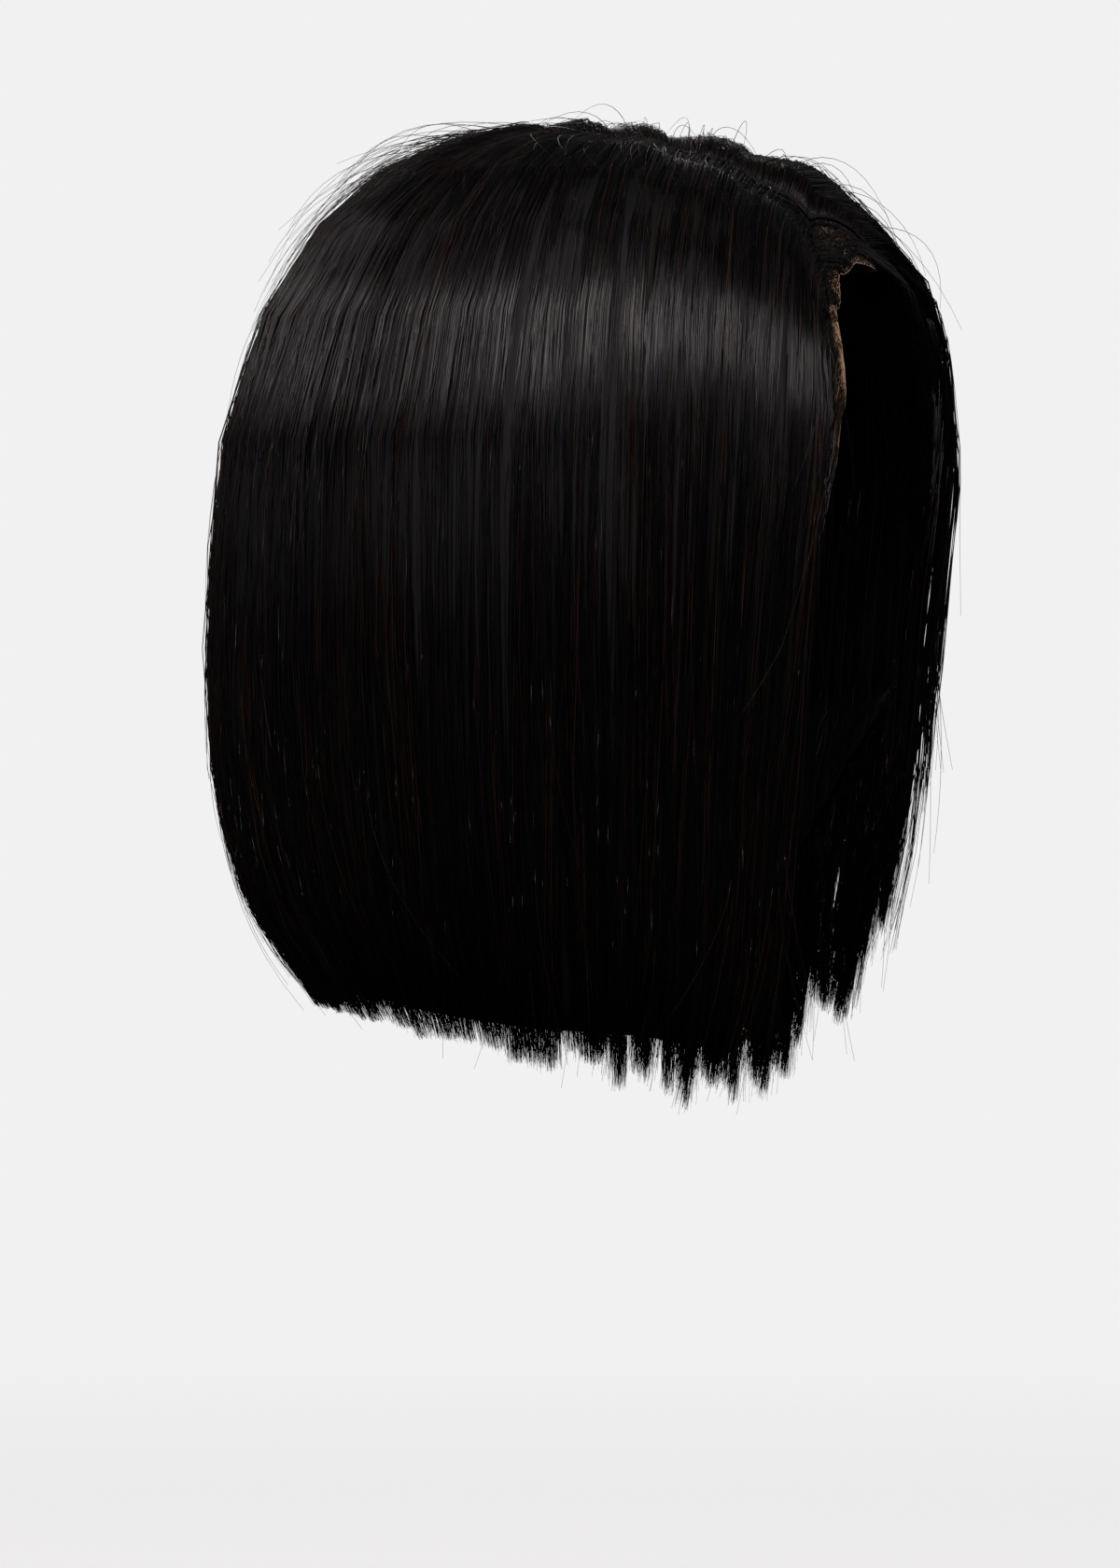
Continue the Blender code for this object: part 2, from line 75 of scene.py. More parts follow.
def new_material(name, **inputs):
    """A material with one Principled surface, whose inputs are set by name."""
    made = bpy.data.materials.new(name)
    made.use_nodes = True
    surface = made.node_tree.nodes["Principled BSDF"]
    for key, value in inputs.items():
        surface.inputs[key.replace("_", " ")].default_value = value
    return made


def node(material, kind, links=(), stops=(), to=(), **settings):
    """Adds a node with its settings and links.

    Each of links is (its input, another node, its output), and to is (its output, a named node, its
    input). stops are a colour ramp's (place, hex) pairs.
    """
    tree = material.node_tree
    added = tree.nodes.new(kind)
    for number, (place, code) in enumerate(stops):
        elements = added.color_ramp.elements
        stop = elements[number] if number < 2 else elements.new(place)
        stop.position, stop.color = place, linear(code)
    for key, value in settings.items():
        if key.startswith("in_"):
            socket = key[3:]
            socket = int(socket) if socket.isdigit() else socket.replace("_", " ")
            added.inputs[socket].default_value = value
        else:
            setattr(added, key, value)
    for socket, other, output in links:
        tree.links.new(other.outputs[output], added.inputs[socket])
    if to:
        output, name, socket = to
        tree.links.new(added.outputs[output], tree.nodes[name].inputs[socket])
    return added


# Knitted nylon net: two sets of threads cross at an angle, with dark holes between them.
cap_net = new_material("knitted_nylon_net", Roughness=0.72, Specular_IOR_Level=0.35)
place_on_cap = node(cap_net, "ShaderNodeTexCoord")
threads = []
for turn in (35, -35):
    tilt = (math.radians(turn), math.radians(turn), math.radians(20))
    turned = node(cap_net, "ShaderNodeMapping", [("Vector", place_on_cap, "Object")], in_Rotation=tilt)
    threads.append(
        node(
            cap_net, "ShaderNodeTexWave", [("Vector", turned, "Vector")],
            wave_profile="SIN", in_Scale=1 / NET_PITCH / 3.2, in_Distortion=0.4,
        )
    )
crossing = node(
    cap_net, "ShaderNodeMath", [(0, threads[0], "Fac"), (1, threads[1], "Fac")], operation="MAXIMUM"
)
node(
    cap_net, "ShaderNodeValToRGB", [("Fac", crossing, "Value")], ((0.35, "#060505"), (0.85, "#1d1a1a")),
    to=("Color", "Principled BSDF", "Base Color"),
)
node(
    cap_net, "ShaderNodeBump", [("Height", crossing, "Value")], in_Strength=0.6, in_Distance=0.0003,
    to=("Normal", "Principled BSDF", "Normal"),
)
for name in ("cap_crown", "cap_right_side", "cap_right_back", "cap_left_back", "cap_left_side"):
    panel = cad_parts[name]
    panel.data.materials.clear()
    panel.data.materials.append(cap_net)


# Cap binding and weft tracks: a black band is sewn round the cap's edge from ear tab to ear tab, and
# rows of hair are machine-sewn round its back. Each row shows inside as a narrow stitched ridge. Both
# are thin closed strips that follow the cap.

BINDING_WIDTH = 0.0045
BINDING_STEP = 0.0004
BINDING_FROM = 52.0  # angle from the face where the lace gives way to the binding
TRACK_WIDTH = 0.0022
TRACK_HEIGHT = 0.0006
TRACK_ROWS = 9
TRACK_SPAN = 96.0  # angle from the back's centre to each end of the longest row
CROWN_ARC = math.pi / 4 * (HEAD_CROWN_HEIGHT + HEAD_LENGTH / 2)
STRIP_STEPS = 90
BINDING_OVERHANG = 0.0006  # how far the binding reaches below the cap's edge
TRACK_SINK = 0.0001  # the tracks are sewn this deep into the cap
TRACK_WAYS = (0.42, 1.50)  # the first and the last row's way down the head


def smooth(low, high, value):
    share = np.clip((value - low) / (high - low), 0, 1)
    return share * share * (3 - 2 * share)


def mix(a, b, share):
    return a + (b - a) * share


def down_head(angle, way, offset):
    """Points down the head's side: way 0 is the top, 1 the widest level, and more is below it."""
    angle, way = np.broadcast_arrays(np.asarray(angle, float), np.asarray(way, float))
    turn = np.radians(90 * np.minimum(way, 1))
    drop = np.maximum(way - 1, 0) * HEAD_CROWN_HEIGHT
    narrowing = CAP_NAPE_NARROWING * (drop / (CAP_NAPE_DROP - HEAD_CROWN_HEIGHT)) ** 2
    reach = np.sin(turn) ** (2 / HEAD_SQUARENESS) * (1 - narrowing)
    rise = np.clip(np.cos(turn), 0, 1) ** (2 / HEAD_SQUARENESS)
    x = -(HEAD_BREADTH / 2 + offset) * np.sin(np.radians(angle)) * reach
    y = -(HEAD_LENGTH / 2 + offset) * np.cos(np.radians(angle)) * reach
    z = (HEAD_CROWN_HEIGHT + offset) * rise - HEAD_CROWN_HEIGHT - drop
    return np.stack((x, y, np.where(way > 1, -HEAD_CROWN_HEIGHT - drop, z)), -1)


def edge_way(angle):
    """How far down the head the cap's edge lies at an angle, in down_head's terms."""
    side = 180 - abs(180 - np.asarray(angle, float) % 360)
    first = np.clip(np.searchsorted(CAP_EDGE[:, 0], side) - 1, 0, len(CAP_EDGE) - 2)
    (start, high), (end, low) = CAP_EDGE[first].T, CAP_EDGE[first + 1].T
    depth = CAP_NAPE_DROP * mix(high, low, smooth(0, 1, (side - start) / (end - start)))
    rise = np.clip(1 - depth / HEAD_CROWN_HEIGHT, 0, 1) ** (HEAD_SQUARENESS / 2)
    return np.where(depth >= HEAD_CROWN_HEIGHT, depth / HEAD_CROWN_HEIGHT, np.degrees(np.arccos(rise)) / 90)


def new_piece(name, points, faces, material, replaced=(), uv=None, soft=True):
    """A mesh piece from an array of points and lists of face arrays, riding on the wig's one body."""
    mesh = bpy.data.meshes.new(name)
    mesh.vertices.add(len(points))
    mesh.vertices.foreach_set("co", np.ascontiguousarray(points, np.float32).ravel())
    corners = np.concatenate([f.ravel() for f in faces])
    sizes = np.concatenate([np.full(len(f), f.shape[1]) for f in faces])
    mesh.loops.add(len(corners))
    mesh.loops.foreach_set("vertex_index", corners.astype(np.int32))
    mesh.polygons.add(len(sizes))
    starts = np.concatenate(([0], np.cumsum(sizes)[:-1]))
    mesh.polygons.foreach_set("loop_start", starts.astype(np.int32))
    mesh.update(calc_edges=True)
    mesh.validate()
    if uv is not None:
        layer = mesh.uv_layers.new(name="OFBake")
        layer.data.foreach_set("uv", np.ascontiguousarray(uv, np.float32).ravel())
    mesh.polygons.foreach_set("use_smooth", (sizes > 3) & soft)  # a strand's ends stay flat
    mesh.materials.append(material)
    piece = bpy.data.objects.new(name, mesh)
    bpy.context.scene.collection.objects.link(piece)
    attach(piece, "root")
    if replaced:
        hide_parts(*replaced)


def strip_faces(steps, ring, first):
    """Faces of a closed tube of rings: its quads, and one cap at each end."""
    i, k = np.meshgrid(np.arange(steps - 1), np.arange(ring), indexing="ij")
    a, b = first + i * ring + k, first + i * ring + (k + 1) % ring
    quads = np.stack((a, b, b + ring, a + ring), -1).reshape(-1, 4)
    last = first + (steps - 1) * ring
    ends = np.stack((np.arange(ring)[::-1] + first, np.arange(ring) + last))
    return quads, ends


def cap_strip(angles, upper, lower, low_offset, high_offset):
    """Points of a flat strip round the cap, between two ways down it and two offsets from the head."""
    corners = (upper, low_offset), (lower, low_offset), (lower, high_offset), (upper, high_offset)
    return np.stack([down_head(angles, way, offset) for way, offset in corners], 1)


# Polyester twill tape: matt black, with fine slanting ribs.
sewn_band = new_material("polyester_twill_tape", Roughness=0.8, Specular_IOR_Level=0.3)
place_on_band = node(sewn_band, "ShaderNodeTexCoord")
twill = node(
    sewn_band, "ShaderNodeTexWave", [("Vector", place_on_band, "Object")],
    bands_direction="DIAGONAL", in_Scale=420.0, in_Distortion=0.6,
)
node(
    sewn_band, "ShaderNodeValToRGB", [("Fac", twill, "Fac")], ((0.2, "#080707"), (0.9, "#1a1817")),
    to=("Color", "Principled BSDF", "Base Color"),
)
node(
    sewn_band, "ShaderNodeBump", [("Height", twill, "Fac")], in_Strength=0.5, in_Distance=0.0002,
    to=("Normal", "Principled BSDF", "Normal"),
)

round_back = np.linspace(BINDING_FROM, 360 - BINDING_FROM, STRIP_STEPS * 2)
band_edge = edge_way(round_back)
band = cap_strip(
    round_back, band_edge - BINDING_WIDTH / CROWN_ARC, band_edge + BINDING_OVERHANG / CROWN_ARC,
    -BINDING_STEP, CAP_WALL + BINDING_STEP,
)
quads, ends = strip_faces(len(round_back), 4, 0)
new_piece("cap_edge_binding", band.reshape(-1, 3), (quads, ends), sewn_band, soft=False)

tracks = []
for row in range(TRACK_ROWS):
    share = (row + 1) / (TRACK_ROWS + 1)
    half_span = TRACK_SPAN * math.sin(math.pi / 2 * min(1, 0.35 + share))
    around = np.linspace(180 - half_span, 180 + half_span, STRIP_STEPS)
    way = np.minimum(mix(*TRACK_WAYS, share), edge_way(around) - 2.5 * TRACK_WIDTH / CROWN_ARC)
    half = TRACK_WIDTH / 2 / CROWN_ARC
    track = cap_strip(around, way - half, way + half, -TRACK_HEIGHT, -TRACK_SINK)
    tracks.append((track.reshape(-1, 3), *strip_faces(STRIP_STEPS, 4, row * STRIP_STEPS * 4)))
points, quads, ends = (np.concatenate(lot) for lot in zip(*tracks))
new_piece("weft_tracks", points, (quads, ends), sewn_band, soft=False)


# Lace front: a sheer net of fine skin-coloured thread with six-sided holes, from temple to temple, into
# which the front hairs are knotted. Every thread of the net is a thin closed rod, joined as one mesh.

LACE_DEPTH = 0.028
LACE_SPAN = 55.0  # angle from the face to each end
LACE_HEIGHT = 0.0006  # over the head
LACE_THREAD = 0.00011  # radius
LACE_HOLE = 0.00105  # side of a hole, about twice as coarse as real lace, so that it shows


def unit(vectors):
    return vectors / (np.linalg.norm(vectors, axis=-1, keepdims=True) + 1e-12)


def thread_mesh(paths, radius, away):
    """Points and faces of closed three-sided threads along paths shaped (thread, station, axis)."""
    threads, stations = paths.shape[:2]
    along = unit(np.gradient(paths, axis=1))
    side = unit(np.cross(along, away))
    up = np.cross(side, along)
    turns = np.radians((90, 210, 330))
    ring = np.cos(turns)[:, None] * side[..., None, :] + np.sin(turns)[:, None] * up[..., None, :]
    radius = np.broadcast_to(radius, (threads, stations))
    points = (paths[..., None, :] + radius[..., None, None] * ring).reshape(-1, 3)
    first = (np.arange(threads) * stations * 3)[:, None, None, None]
    step = (np.arange(stations - 1) * 3)[None, :, None, None]
    around = np.array(((0, 3, 4, 1), (1, 4, 5, 2), (2, 5, 3, 0)))[None, None]
    quads = (first + step + around).reshape(-1, 4)
    last = (stations - 1) * 3
    ends = (first[:, 0, 0] + np.array((0, 1, 2, last + 2, last + 1, last))).reshape(-1, 3)
    return points, quads, ends


lace_arc = math.radians(LACE_SPAN) * 2 * (HEAD_LENGTH + HEAD_BREADTH) / 4
lattice = []
for r in range(int(LACE_DEPTH / (LACE_HOLE * 1.5))):
    for c in range(int(lace_arc / (LACE_HOLE * math.sqrt(3)))):
        across = (c + 0.5 * (r % 2)) * LACE_HOLE * math.sqrt(3) - lace_arc / 2
        down = r * LACE_HOLE * 1.5
        top, low = (across, down), down + LACE_HOLE / 2
        left = (across - LACE_HOLE * math.sqrt(3) / 2, low)
        right = (across + LACE_HOLE * math.sqrt(3) / 2, low)
        lattice += [(top, left), (top, right), (left, (left[0], down + LACE_HOLE * 1.5))]
lattice = np.array(lattice)


def on_lace(across, down):
    """A spot of the lace from its place along the hairline and its depth behind it."""
    angle = across / (lace_arc / 2) * LACE_SPAN
    taper = np.sqrt(np.clip(1 - (angle / LACE_SPAN) ** 4, 0.02, 1))
    return down_head(angle, edge_way(angle) - (down * taper) / CROWN_ARC, LACE_HEIGHT)


lace_paths = np.stack([on_lace(*lattice[:, end].T) for end in (0, 1)], 1)
lace_paths = lace_paths[np.linalg.norm(lace_paths[:, 1] - lace_paths[:, 0], axis=1) > LACE_HOLE * 0.15]
lace_away = lace_paths[:, :1] - (0, 0, -HEAD_CROWN_HEIGHT)
points, quads, ends = thread_mesh(lace_paths, LACE_THREAD, lace_away)

# Fine nylon thread: pale skin-coloured and matt, a little lighter in places.
lace_thread = new_material(
    "nylon_lace_thread", Base_Color=linear("#c79f78"), Roughness=0.6, Specular_IOR_Level=0.4
)
place_on_lace = node(lace_thread, "ShaderNodeTexCoord")
lace_tone = node(
    lace_thread, "ShaderNodeTexNoise", [("Vector", place_on_lace, "Object")], in_Scale=60.0, in_Detail=3.0
)
node(
    lace_thread, "ShaderNodeValToRGB", [("Fac", lace_tone, "Fac")], ((0.3, "#c39a74"), (0.7, "#ecc9a6")),
    to=("Color", "Principled BSDF", "Base Color"),
)
new_piece("lace_net", points, (quads, ends), lace_thread, ("lace_front",))


# Hair bodies: the mass of straight black fibre under the visible strands. Each section runs from its
# root line to its hem, keeps the shape of the solid it replaces and is ridged into finer locks.

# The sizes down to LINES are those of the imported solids, in metres, degrees and shares.
HAIR_CROWN_DEPTH = 0.0108
HAIR_SIDE_DEPTH = 0.020
HAIR_BACK_DEPTH = 0.024
HAIR_FRONT_DEPTH = 0.0255
HAIR_WIDEST_DROP = 0.150
HAIR_SQUARENESS = 2.5
SHOULDER_DROP = 0.090
FRONT_DROP = 0.290
CURL = 3.2
HAIR_SEAT = 0.0013
FRINGE_WALL = 0.0060
HEM_WALL = 0.0045
HEM_BEVEL = 0.0040
ROOT_HEIGHT = 0.0018
TEMPLE_ROOT = (-0.66, -0.66)
PARTING_FRONT = (-0.43, -0.60)
PARTING_CROWN = (-0.17, 0.12)
FRINGE_ROOT = (0.10, -0.84)
PARTING_WIDTH = 0.0020
PARTING_ZIGZAG = 0.0022
PARTING_ZIGZAGS = 3.5
CROWN_RADIUS = 0.0055
ROOT_SHARES = (0.10, 0.44, 0.56, 0.90)
LOCKS = 3
LOCK_RELIEF = 0.0014
TUFT_HEIGHT = 0.0028
# One row for each line between two sections, from the right temple round the back to the fringe: where it
# is rooted, the angle it hangs at, and how it fills out, leaves the head, bows, turns, tucks in and ends.
LINE_COLUMNS = ("root", "hang", "girth", "lift", "rise", "leave", "bow", "turn", "tuck", "drop", "rag")
LINES = np.array(
    (
        (0.0, 59.5, 1.015, 0.3, 1.0, 0.7, 0.0, 7.0, 0.925, 0.952, 1.6),
        (0.12, 70.0, 1.01, 0.3, 0.95, 0.9, 0.0, 4.0, 0.905, 0.985, 1.6),
        (0.27, 86.0, 1.0, 0.35, 0.7, 1.2, 0.0, 0.5, 0.865, 0.958, 1.4),
        (0.37, 104.0, 1.0, 0.45, 0.5, 1.2, 0.0, -1.0, 0.825, 0.935, 0.9),
        (0.43, 124.0, 1.0, 0.6, 0.45, 1.2, 0.0, -2.0, 0.775, 0.918, 0.7),
        (0.455, 146.0, 1.0, 0.76, 0.4, 1.2, 0.0, -2.5, 0.745, 0.897, 0.6),
        (0.478, 168.0, 1.0, 0.86, 0.4, 1.2, 0.0, -1.0, 0.732, 0.886, 0.6),
        (0.5, 190.0, 1.0, 0.89, 0.4, 1.2, 0.0, 0.0, 0.735, 0.884, 0.6),
        (0.522, 212.0, 1.0, 0.87, 0.4, 1.2, 0.0, 1.5, 0.745, 0.89, 0.6),
        (0.545, 234.0, 1.0, 0.74, 0.45, 1.2, 0.0, 1.5, 0.775, 0.905, 0.7),
        (0.62, 256.0, 1.0, 0.52, 0.6, 1.2, 0.0, 1.0, 0.825, 0.925, 0.9),
        (0.7, 274.0, 1.0, 0.32, 0.8, 1.2, 0.02, 1.0, 0.86, 0.95, 1.2),
        (0.8, 291.0, 1.005, 0.24, 1.0, 1.0, 0.066, 3.0, 0.905, 0.96, 1.4),
        (0.895, 308.0, 1.02, 0.28, 0.75, 0.6, 0.08, -3.0, 0.925, 0.925, 1.6),
        (1.0, 324.5, 1.06, 0.12, 0.6, 0.25, 0.036, -6.0, 0.985, 0.83, 1.8),
    )
)
SECTIONS = (
    "right_face_hair", "right_front_hair", "right_side_hair", "right_rear_hair",
    "back_outer_right_hair", "back_inner_right_hair", "back_centre_hair", "back_inner_left_hair",
    "back_outer_left_hair", "left_rear_hair", "left_side_hair", "left_front_hair",
    "swept_top_hair", "swept_fringe",
)
TUFTED = (9, 13)  # the first and the last place of the lifted tufts
BODY_RECESS = 0.0009  # the body lies this far under the solid's surface, and strands fill the rest
BODY_CUTS = (  # place, and how far above the hem the body ends, so that strands alone make the ends
    (0, 0.022), (1, 0.016), (3, 0.006), (5, 0.004), (9, 0.004), (11, 0.010), (11.8, 0.018), (12.5, 0.055),
    (14, 0.075),
)
BODY_LEAST = 0.0005  # thinnest wall of a body
BODY_COLUMNS = 26
BODY_WAYS = np.concatenate((np.linspace(0, 1, 22), np.linspace(1, 2, 15)[1:]))
FINE_RELIEF = 0.00045
SWEEP_BACK = 0.20  # how far the front of the left curtain is drawn back at its hem, in places


def line_at(place):
    """Each column of LINES at fractional places, smoothly read."""
    place = np.asarray(place, float)
    first = np.clip(place.astype(int), 0, len(LINES) - 2)
    share = (place - first)[..., None]
    before, start, end, after = (LINES[np.clip(first + i, 0, len(LINES) - 1)] for i in (-1, 0, 1, 2))
    square, cube = share**2, share**3
    values = 0.5 * (
        2 * start + (end - before) * share + (2 * before - 5 * start + 4 * end - after) * square
        + (3 * start - before - 3 * end + after) * cube
    )
    return dict(zip(LINE_COLUMNS, np.moveaxis(values, -1, 0)))


def root_plan(share):
    """Plan position of the roots: up the right hairline, along the parting, round the crown and back."""
    half = np.array((HEAD_BREADTH / 2, HEAD_LENGTH / 2))
    spots = TEMPLE_ROOT, PARTING_FRONT, PARTING_CROWN, FRINGE_ROOT
    temple, front, crown, fringe = (half * spot for spot in spots)
    along = (crown - front) / np.linalg.norm(crown - front)
    left = np.array((along[1], -along[0]))
    front_right, crown_right, crown_left, front_left = ROOT_SHARES
    share = np.clip(share, 0, 1)[..., None]
    hairline = mix(temple, front - left * PARTING_WIDTH / 2, share / front_right)
    forehead = mix(front + left * PARTING_WIDTH / 2, fringe, (share - front_left) / (1 - front_left))
    turn = math.pi * (share - crown_right) / (crown_left - crown_right)
    round_crown = crown + CROWN_RADIUS * (along * np.sin(turn) - left * np.cos(turn))
    side = np.where(share < crown_right, -1, 1)
    way = np.where(
        share < crown_right, (share - front_right) / (crown_right - front_right),
        (front_left - share) / (front_left - crown_left),
    )
    wave = np.arcsin(np.sin(2 * np.pi * PARTING_ZIGZAGS * way)) * 2 / np.pi
    zigzag = PARTING_ZIGZAG * wave * (1 - smooth(0.75, 1.0, way))
    width = mix(PARTING_WIDTH / 2, CROWN_RADIUS, smooth(0.6, 1.0, way))
    parting = mix(front, crown, way) + left * (zigzag + side * width)
    spot = np.where((share >= crown_right) & (share <= crown_left), round_crown, parting)
    return np.where(share < front_right, hairline, np.where(share > front_left, forehead, spot))


def on_ellipse(angle, across, along):
    """Plan position at an angle round the head, on an ellipse of these half sizes."""
    turn = np.radians(angle)
    return np.stack((-across * np.sin(turn), -along * np.cos(turn)), -1)


def hair_rim(angle, reach):
    """Plan position on the hair's widest outline, at a share of its size."""
    depth = np.where(np.cos(np.radians(angle)) > 0, HAIR_FRONT_DEPTH, HAIR_BACK_DEPTH)
    rim = on_ellipse(angle, HEAD_BREADTH / 2 + HAIR_SIDE_DEPTH, HEAD_LENGTH / 2 + depth)
    return rim * reach[..., None]


def dome(plan, across, along, squareness, girth=1.0):
    """Height of a dome over a plan position, as a share of its full height."""
    out = np.hypot(plan[..., 0] / across, plan[..., 1] / along) / girth
    return np.clip(1 - np.minimum(out, 1) ** squareness, 0, 1) ** (1 / squareness)


def outwards(spot):
    """Directions away from the head: from the crown's centre, or level below it."""
    away = spot.copy()
    away[..., 2] -= np.minimum(spot[..., 2], -HEAD_CROWN_HEIGHT)
    return away / np.linalg.norm(away, axis=-1, keepdims=True)


def lifted(plan, height):
    return np.concatenate((plan, height[..., None]), -1)


def hair_points(place, way, tip=0.0):
    """Outer and inner points of the hair at places round the head and ways down it.

    way runs from 0 at the root over the crown to 1 at the widest level, and on to 2 at the hem.
    tip is how much longer the hair is there than its line says.
    """
    place, way, tip = np.broadcast_arrays(*(np.asarray(v, float) for v in (place, way, tip)))
    line = line_at(place)
    root = root_plan(line["root"])
    hem = FRONT_DROP * line["drop"] + tip
    over = np.sin(np.radians(90 * np.clip(way, 0, 1))) ** 0.9
    fall = np.maximum(0, way - 1)
    reach = mix(line["girth"], line["tuck"], fall**CURL)
    bow = np.stack((over * 0, -4 * line["bow"] * HEAD_LENGTH * over * (1 - over)), -1)
    plan = mix(root, hair_rim(line["hang"], reach), over[..., None]) + bow
    across = HEAD_BREADTH / 2 + HAIR_SIDE_DEPTH
    along = HEAD_LENGTH / 2 + np.where(plan[..., 1] < 0, HAIR_FRONT_DEPTH, HAIR_BACK_DEPTH)
    top = dome(plan, across, along, HAIR_SQUARENESS, line["girth"])
    top = (HAIR_CROWN_DEPTH + HAIR_WIDEST_DROP) * top - HAIR_WIDEST_DROP
    height = np.where(way <= 1, top, -mix(HAIR_WIDEST_DROP, hem, fall))
    drift = np.clip((-height - SHOULDER_DROP) / (hem - SHOULDER_DROP), 0, 1)
    angle = line["hang"] + line["turn"] * (1 - (1 - drift) ** 1.9)
    full = lifted(mix(root, hair_rim(angle, reach), over[..., None]) + bow, height)
    seat = CAP_WALL + HAIR_SEAT
    across, along = HEAD_BREADTH / 2 + seat, HEAD_LENGTH / 2 + seat
    seated = mix(root, on_ellipse(angle, across, along), over[..., None])
    top = dome(seated, across, along, HEAD_SQUARENESS)
    inner = lifted(seated, (HEAD_CROWN_HEIGHT + seat) * top - HEAD_CROWN_HEIGHT)
    fullness = mix(line["lift"], 1.0, smooth(0.0, line["rise"], over))
    outer = mix(inner, full, fullness[..., None])
    thin = np.linalg.norm(outer - inner, axis=-1) < ROOT_HEIGHT
    outer = np.where(thin[..., None], inner + outwards(inner) * ROOT_HEIGHT, outer)
    room = np.linalg.norm(outer - inner, axis=-1)
    end = full - outwards(full) * HEM_WALL
    end[..., 2] = full[..., 2]
    hanging = mix(inner, end, fall[..., None])
    hanging[..., 2] = -mix(HEAD_CROWN_HEIGHT, hem - HEM_BEVEL, fall)
    inner = np.where((way > 1)[..., None], hanging, inner)
    wall = np.minimum(mix(FRINGE_WALL, HEM_WALL, fall), room)
    free = outer - outwards(outer) * wall[..., None]
    free[..., 2] += HEM_BEVEL * fall
    leaving = smooth(line["leave"] - 0.2, line["leave"] + 0.15, over)
    return outer, mix(inner, free, leaving[..., None])


lock_edges, lock_heights = [], []
for number in range(len(SECTIONS)):
    chance = random.Random(number + 11)
    widths = [chance.uniform(0.8, 1.2) for _ in range(LOCKS)]
    lock_edges += list(number + np.cumsum([0] + widths)[:-1] / sum(widths))
    for _ in range(LOCKS):
        chance.uniform(0.3, 1.0)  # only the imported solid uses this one
        lock_heights.append(chance.uniform(0.6, 1.0))
lock_edges = np.array(lock_edges + [len(SECTIONS)])
lock_heights = np.array(lock_heights)


def relief(place, way):
    """Height of the locks' ridges over the plain form, with the lifted tufts along the parting."""
    place = np.clip(place, 0, len(SECTIONS) - 1e-6)
    lock = np.clip(np.searchsorted(lock_edges, place, side="right") - 1, 0, len(lock_heights) - 1)
    share = (place - lock_edges[lock]) / (lock_edges[lock + 1] - lock_edges[lock])
    crest = np.clip(np.sin(np.pi * share), 0, 1) ** 0.6
    grown = LOCK_RELIEF * lock_heights[lock] * crest * smooth(0.1, 0.5, way)
    fine = np.sin(place * 61.0 + 1.7 * np.sin(way * 2.3 + place * 5)) + np.sin(place * 97.0 + 4 + way)
    grown = grown + FINE_RELIEF * fine * smooth(0.15, 0.6, way)
    tuft = np.clip(np.sin(np.pi * (place % 1) ** 1.6), 0, 1) * (1 - smooth(0.15, 0.55, way))
    return grown + TUFT_HEIGHT * tuft * ((place >= TUFTED[0]) & (place < TUFTED[1]))


def shell(outer, inner):
    """Points, faces and a map for a closed body between two grids of points."""
    rows, columns = outer.shape[:2]
    points = np.concatenate((outer.reshape(-1, 3), inner.reshape(-1, 3)))
    n = np.arange(rows * columns).reshape(rows, columns)
    skin = np.stack((n[:-1, :-1], n[:-1, 1:], n[1:, 1:], n[1:, :-1]), -1).reshape(-1, 4)
    faces = [skin, skin[:, ::-1] + n.size]
    for edge, turned in ((n[:, 0], False), (n[:, -1], True), (n[0], True), (n[-1], False)):
        wall = np.stack((edge[:-1], edge[1:], edge[1:] + n.size, edge[:-1] + n.size), -1)
        faces.append(wall[:, (0, 3, 2, 1)] if turned else wall)
    faces = np.concatenate(faces)
    u, v = np.meshgrid(np.linspace(0.02, 0.47, columns), np.linspace(0.98, 0.02, rows))
    spots = np.concatenate((np.stack((u, v), -1).reshape(-1, 2), np.stack((1 - u, v), -1).reshape(-1, 2)))
    return points, faces, spots[faces.ravel()]


# Modacrylic fibre in bulk: near black, with fine streaks along the fall and a satin shine.
bulk_fibre = new_material("modacrylic_fibre_bulk", Roughness=0.55, Specular_IOR_Level=0.25, IOR=1.5)
bulk_map = node(bulk_fibre, "ShaderNodeUVMap", uv_map="OFBake")
bulk_flow = node(bulk_fibre, "ShaderNodeMapping", [("Vector", bulk_map, "UV")], in_Scale=(160.0, 1.6, 1.0))
bulk_streaks = node(
    bulk_fibre, "ShaderNodeTexNoise", [("Vector", bulk_flow, "Vector")], in_Scale=1.0, in_Detail=4.0
)
node(
    bulk_fibre, "ShaderNodeValToRGB", [("Fac", bulk_streaks, "Fac")],
    ((0.3, "#020202"), (0.55, "#060505"), (0.8, "#0e0a09")), to=("Color", "Principled BSDF", "Base Color"),
)
node(
    bulk_fibre, "ShaderNodeBump", [("Height", bulk_streaks, "Fac")], in_Strength=0.5, in_Distance=0.0006,
    to=("Normal", "Principled BSDF", "Normal"),
)


def drawn_back(place, way):
    """Where hair of a place hangs at a way once its ends are drawn back, and how much longer it is."""
    spot = place - SWEEP_BACK * smooth(11.8, 14, place) * smooth(1.3, 2.0, way) ** 1.3
    return spot, FRONT_DROP * (line_at(place)["drop"] - line_at(spot)["drop"])


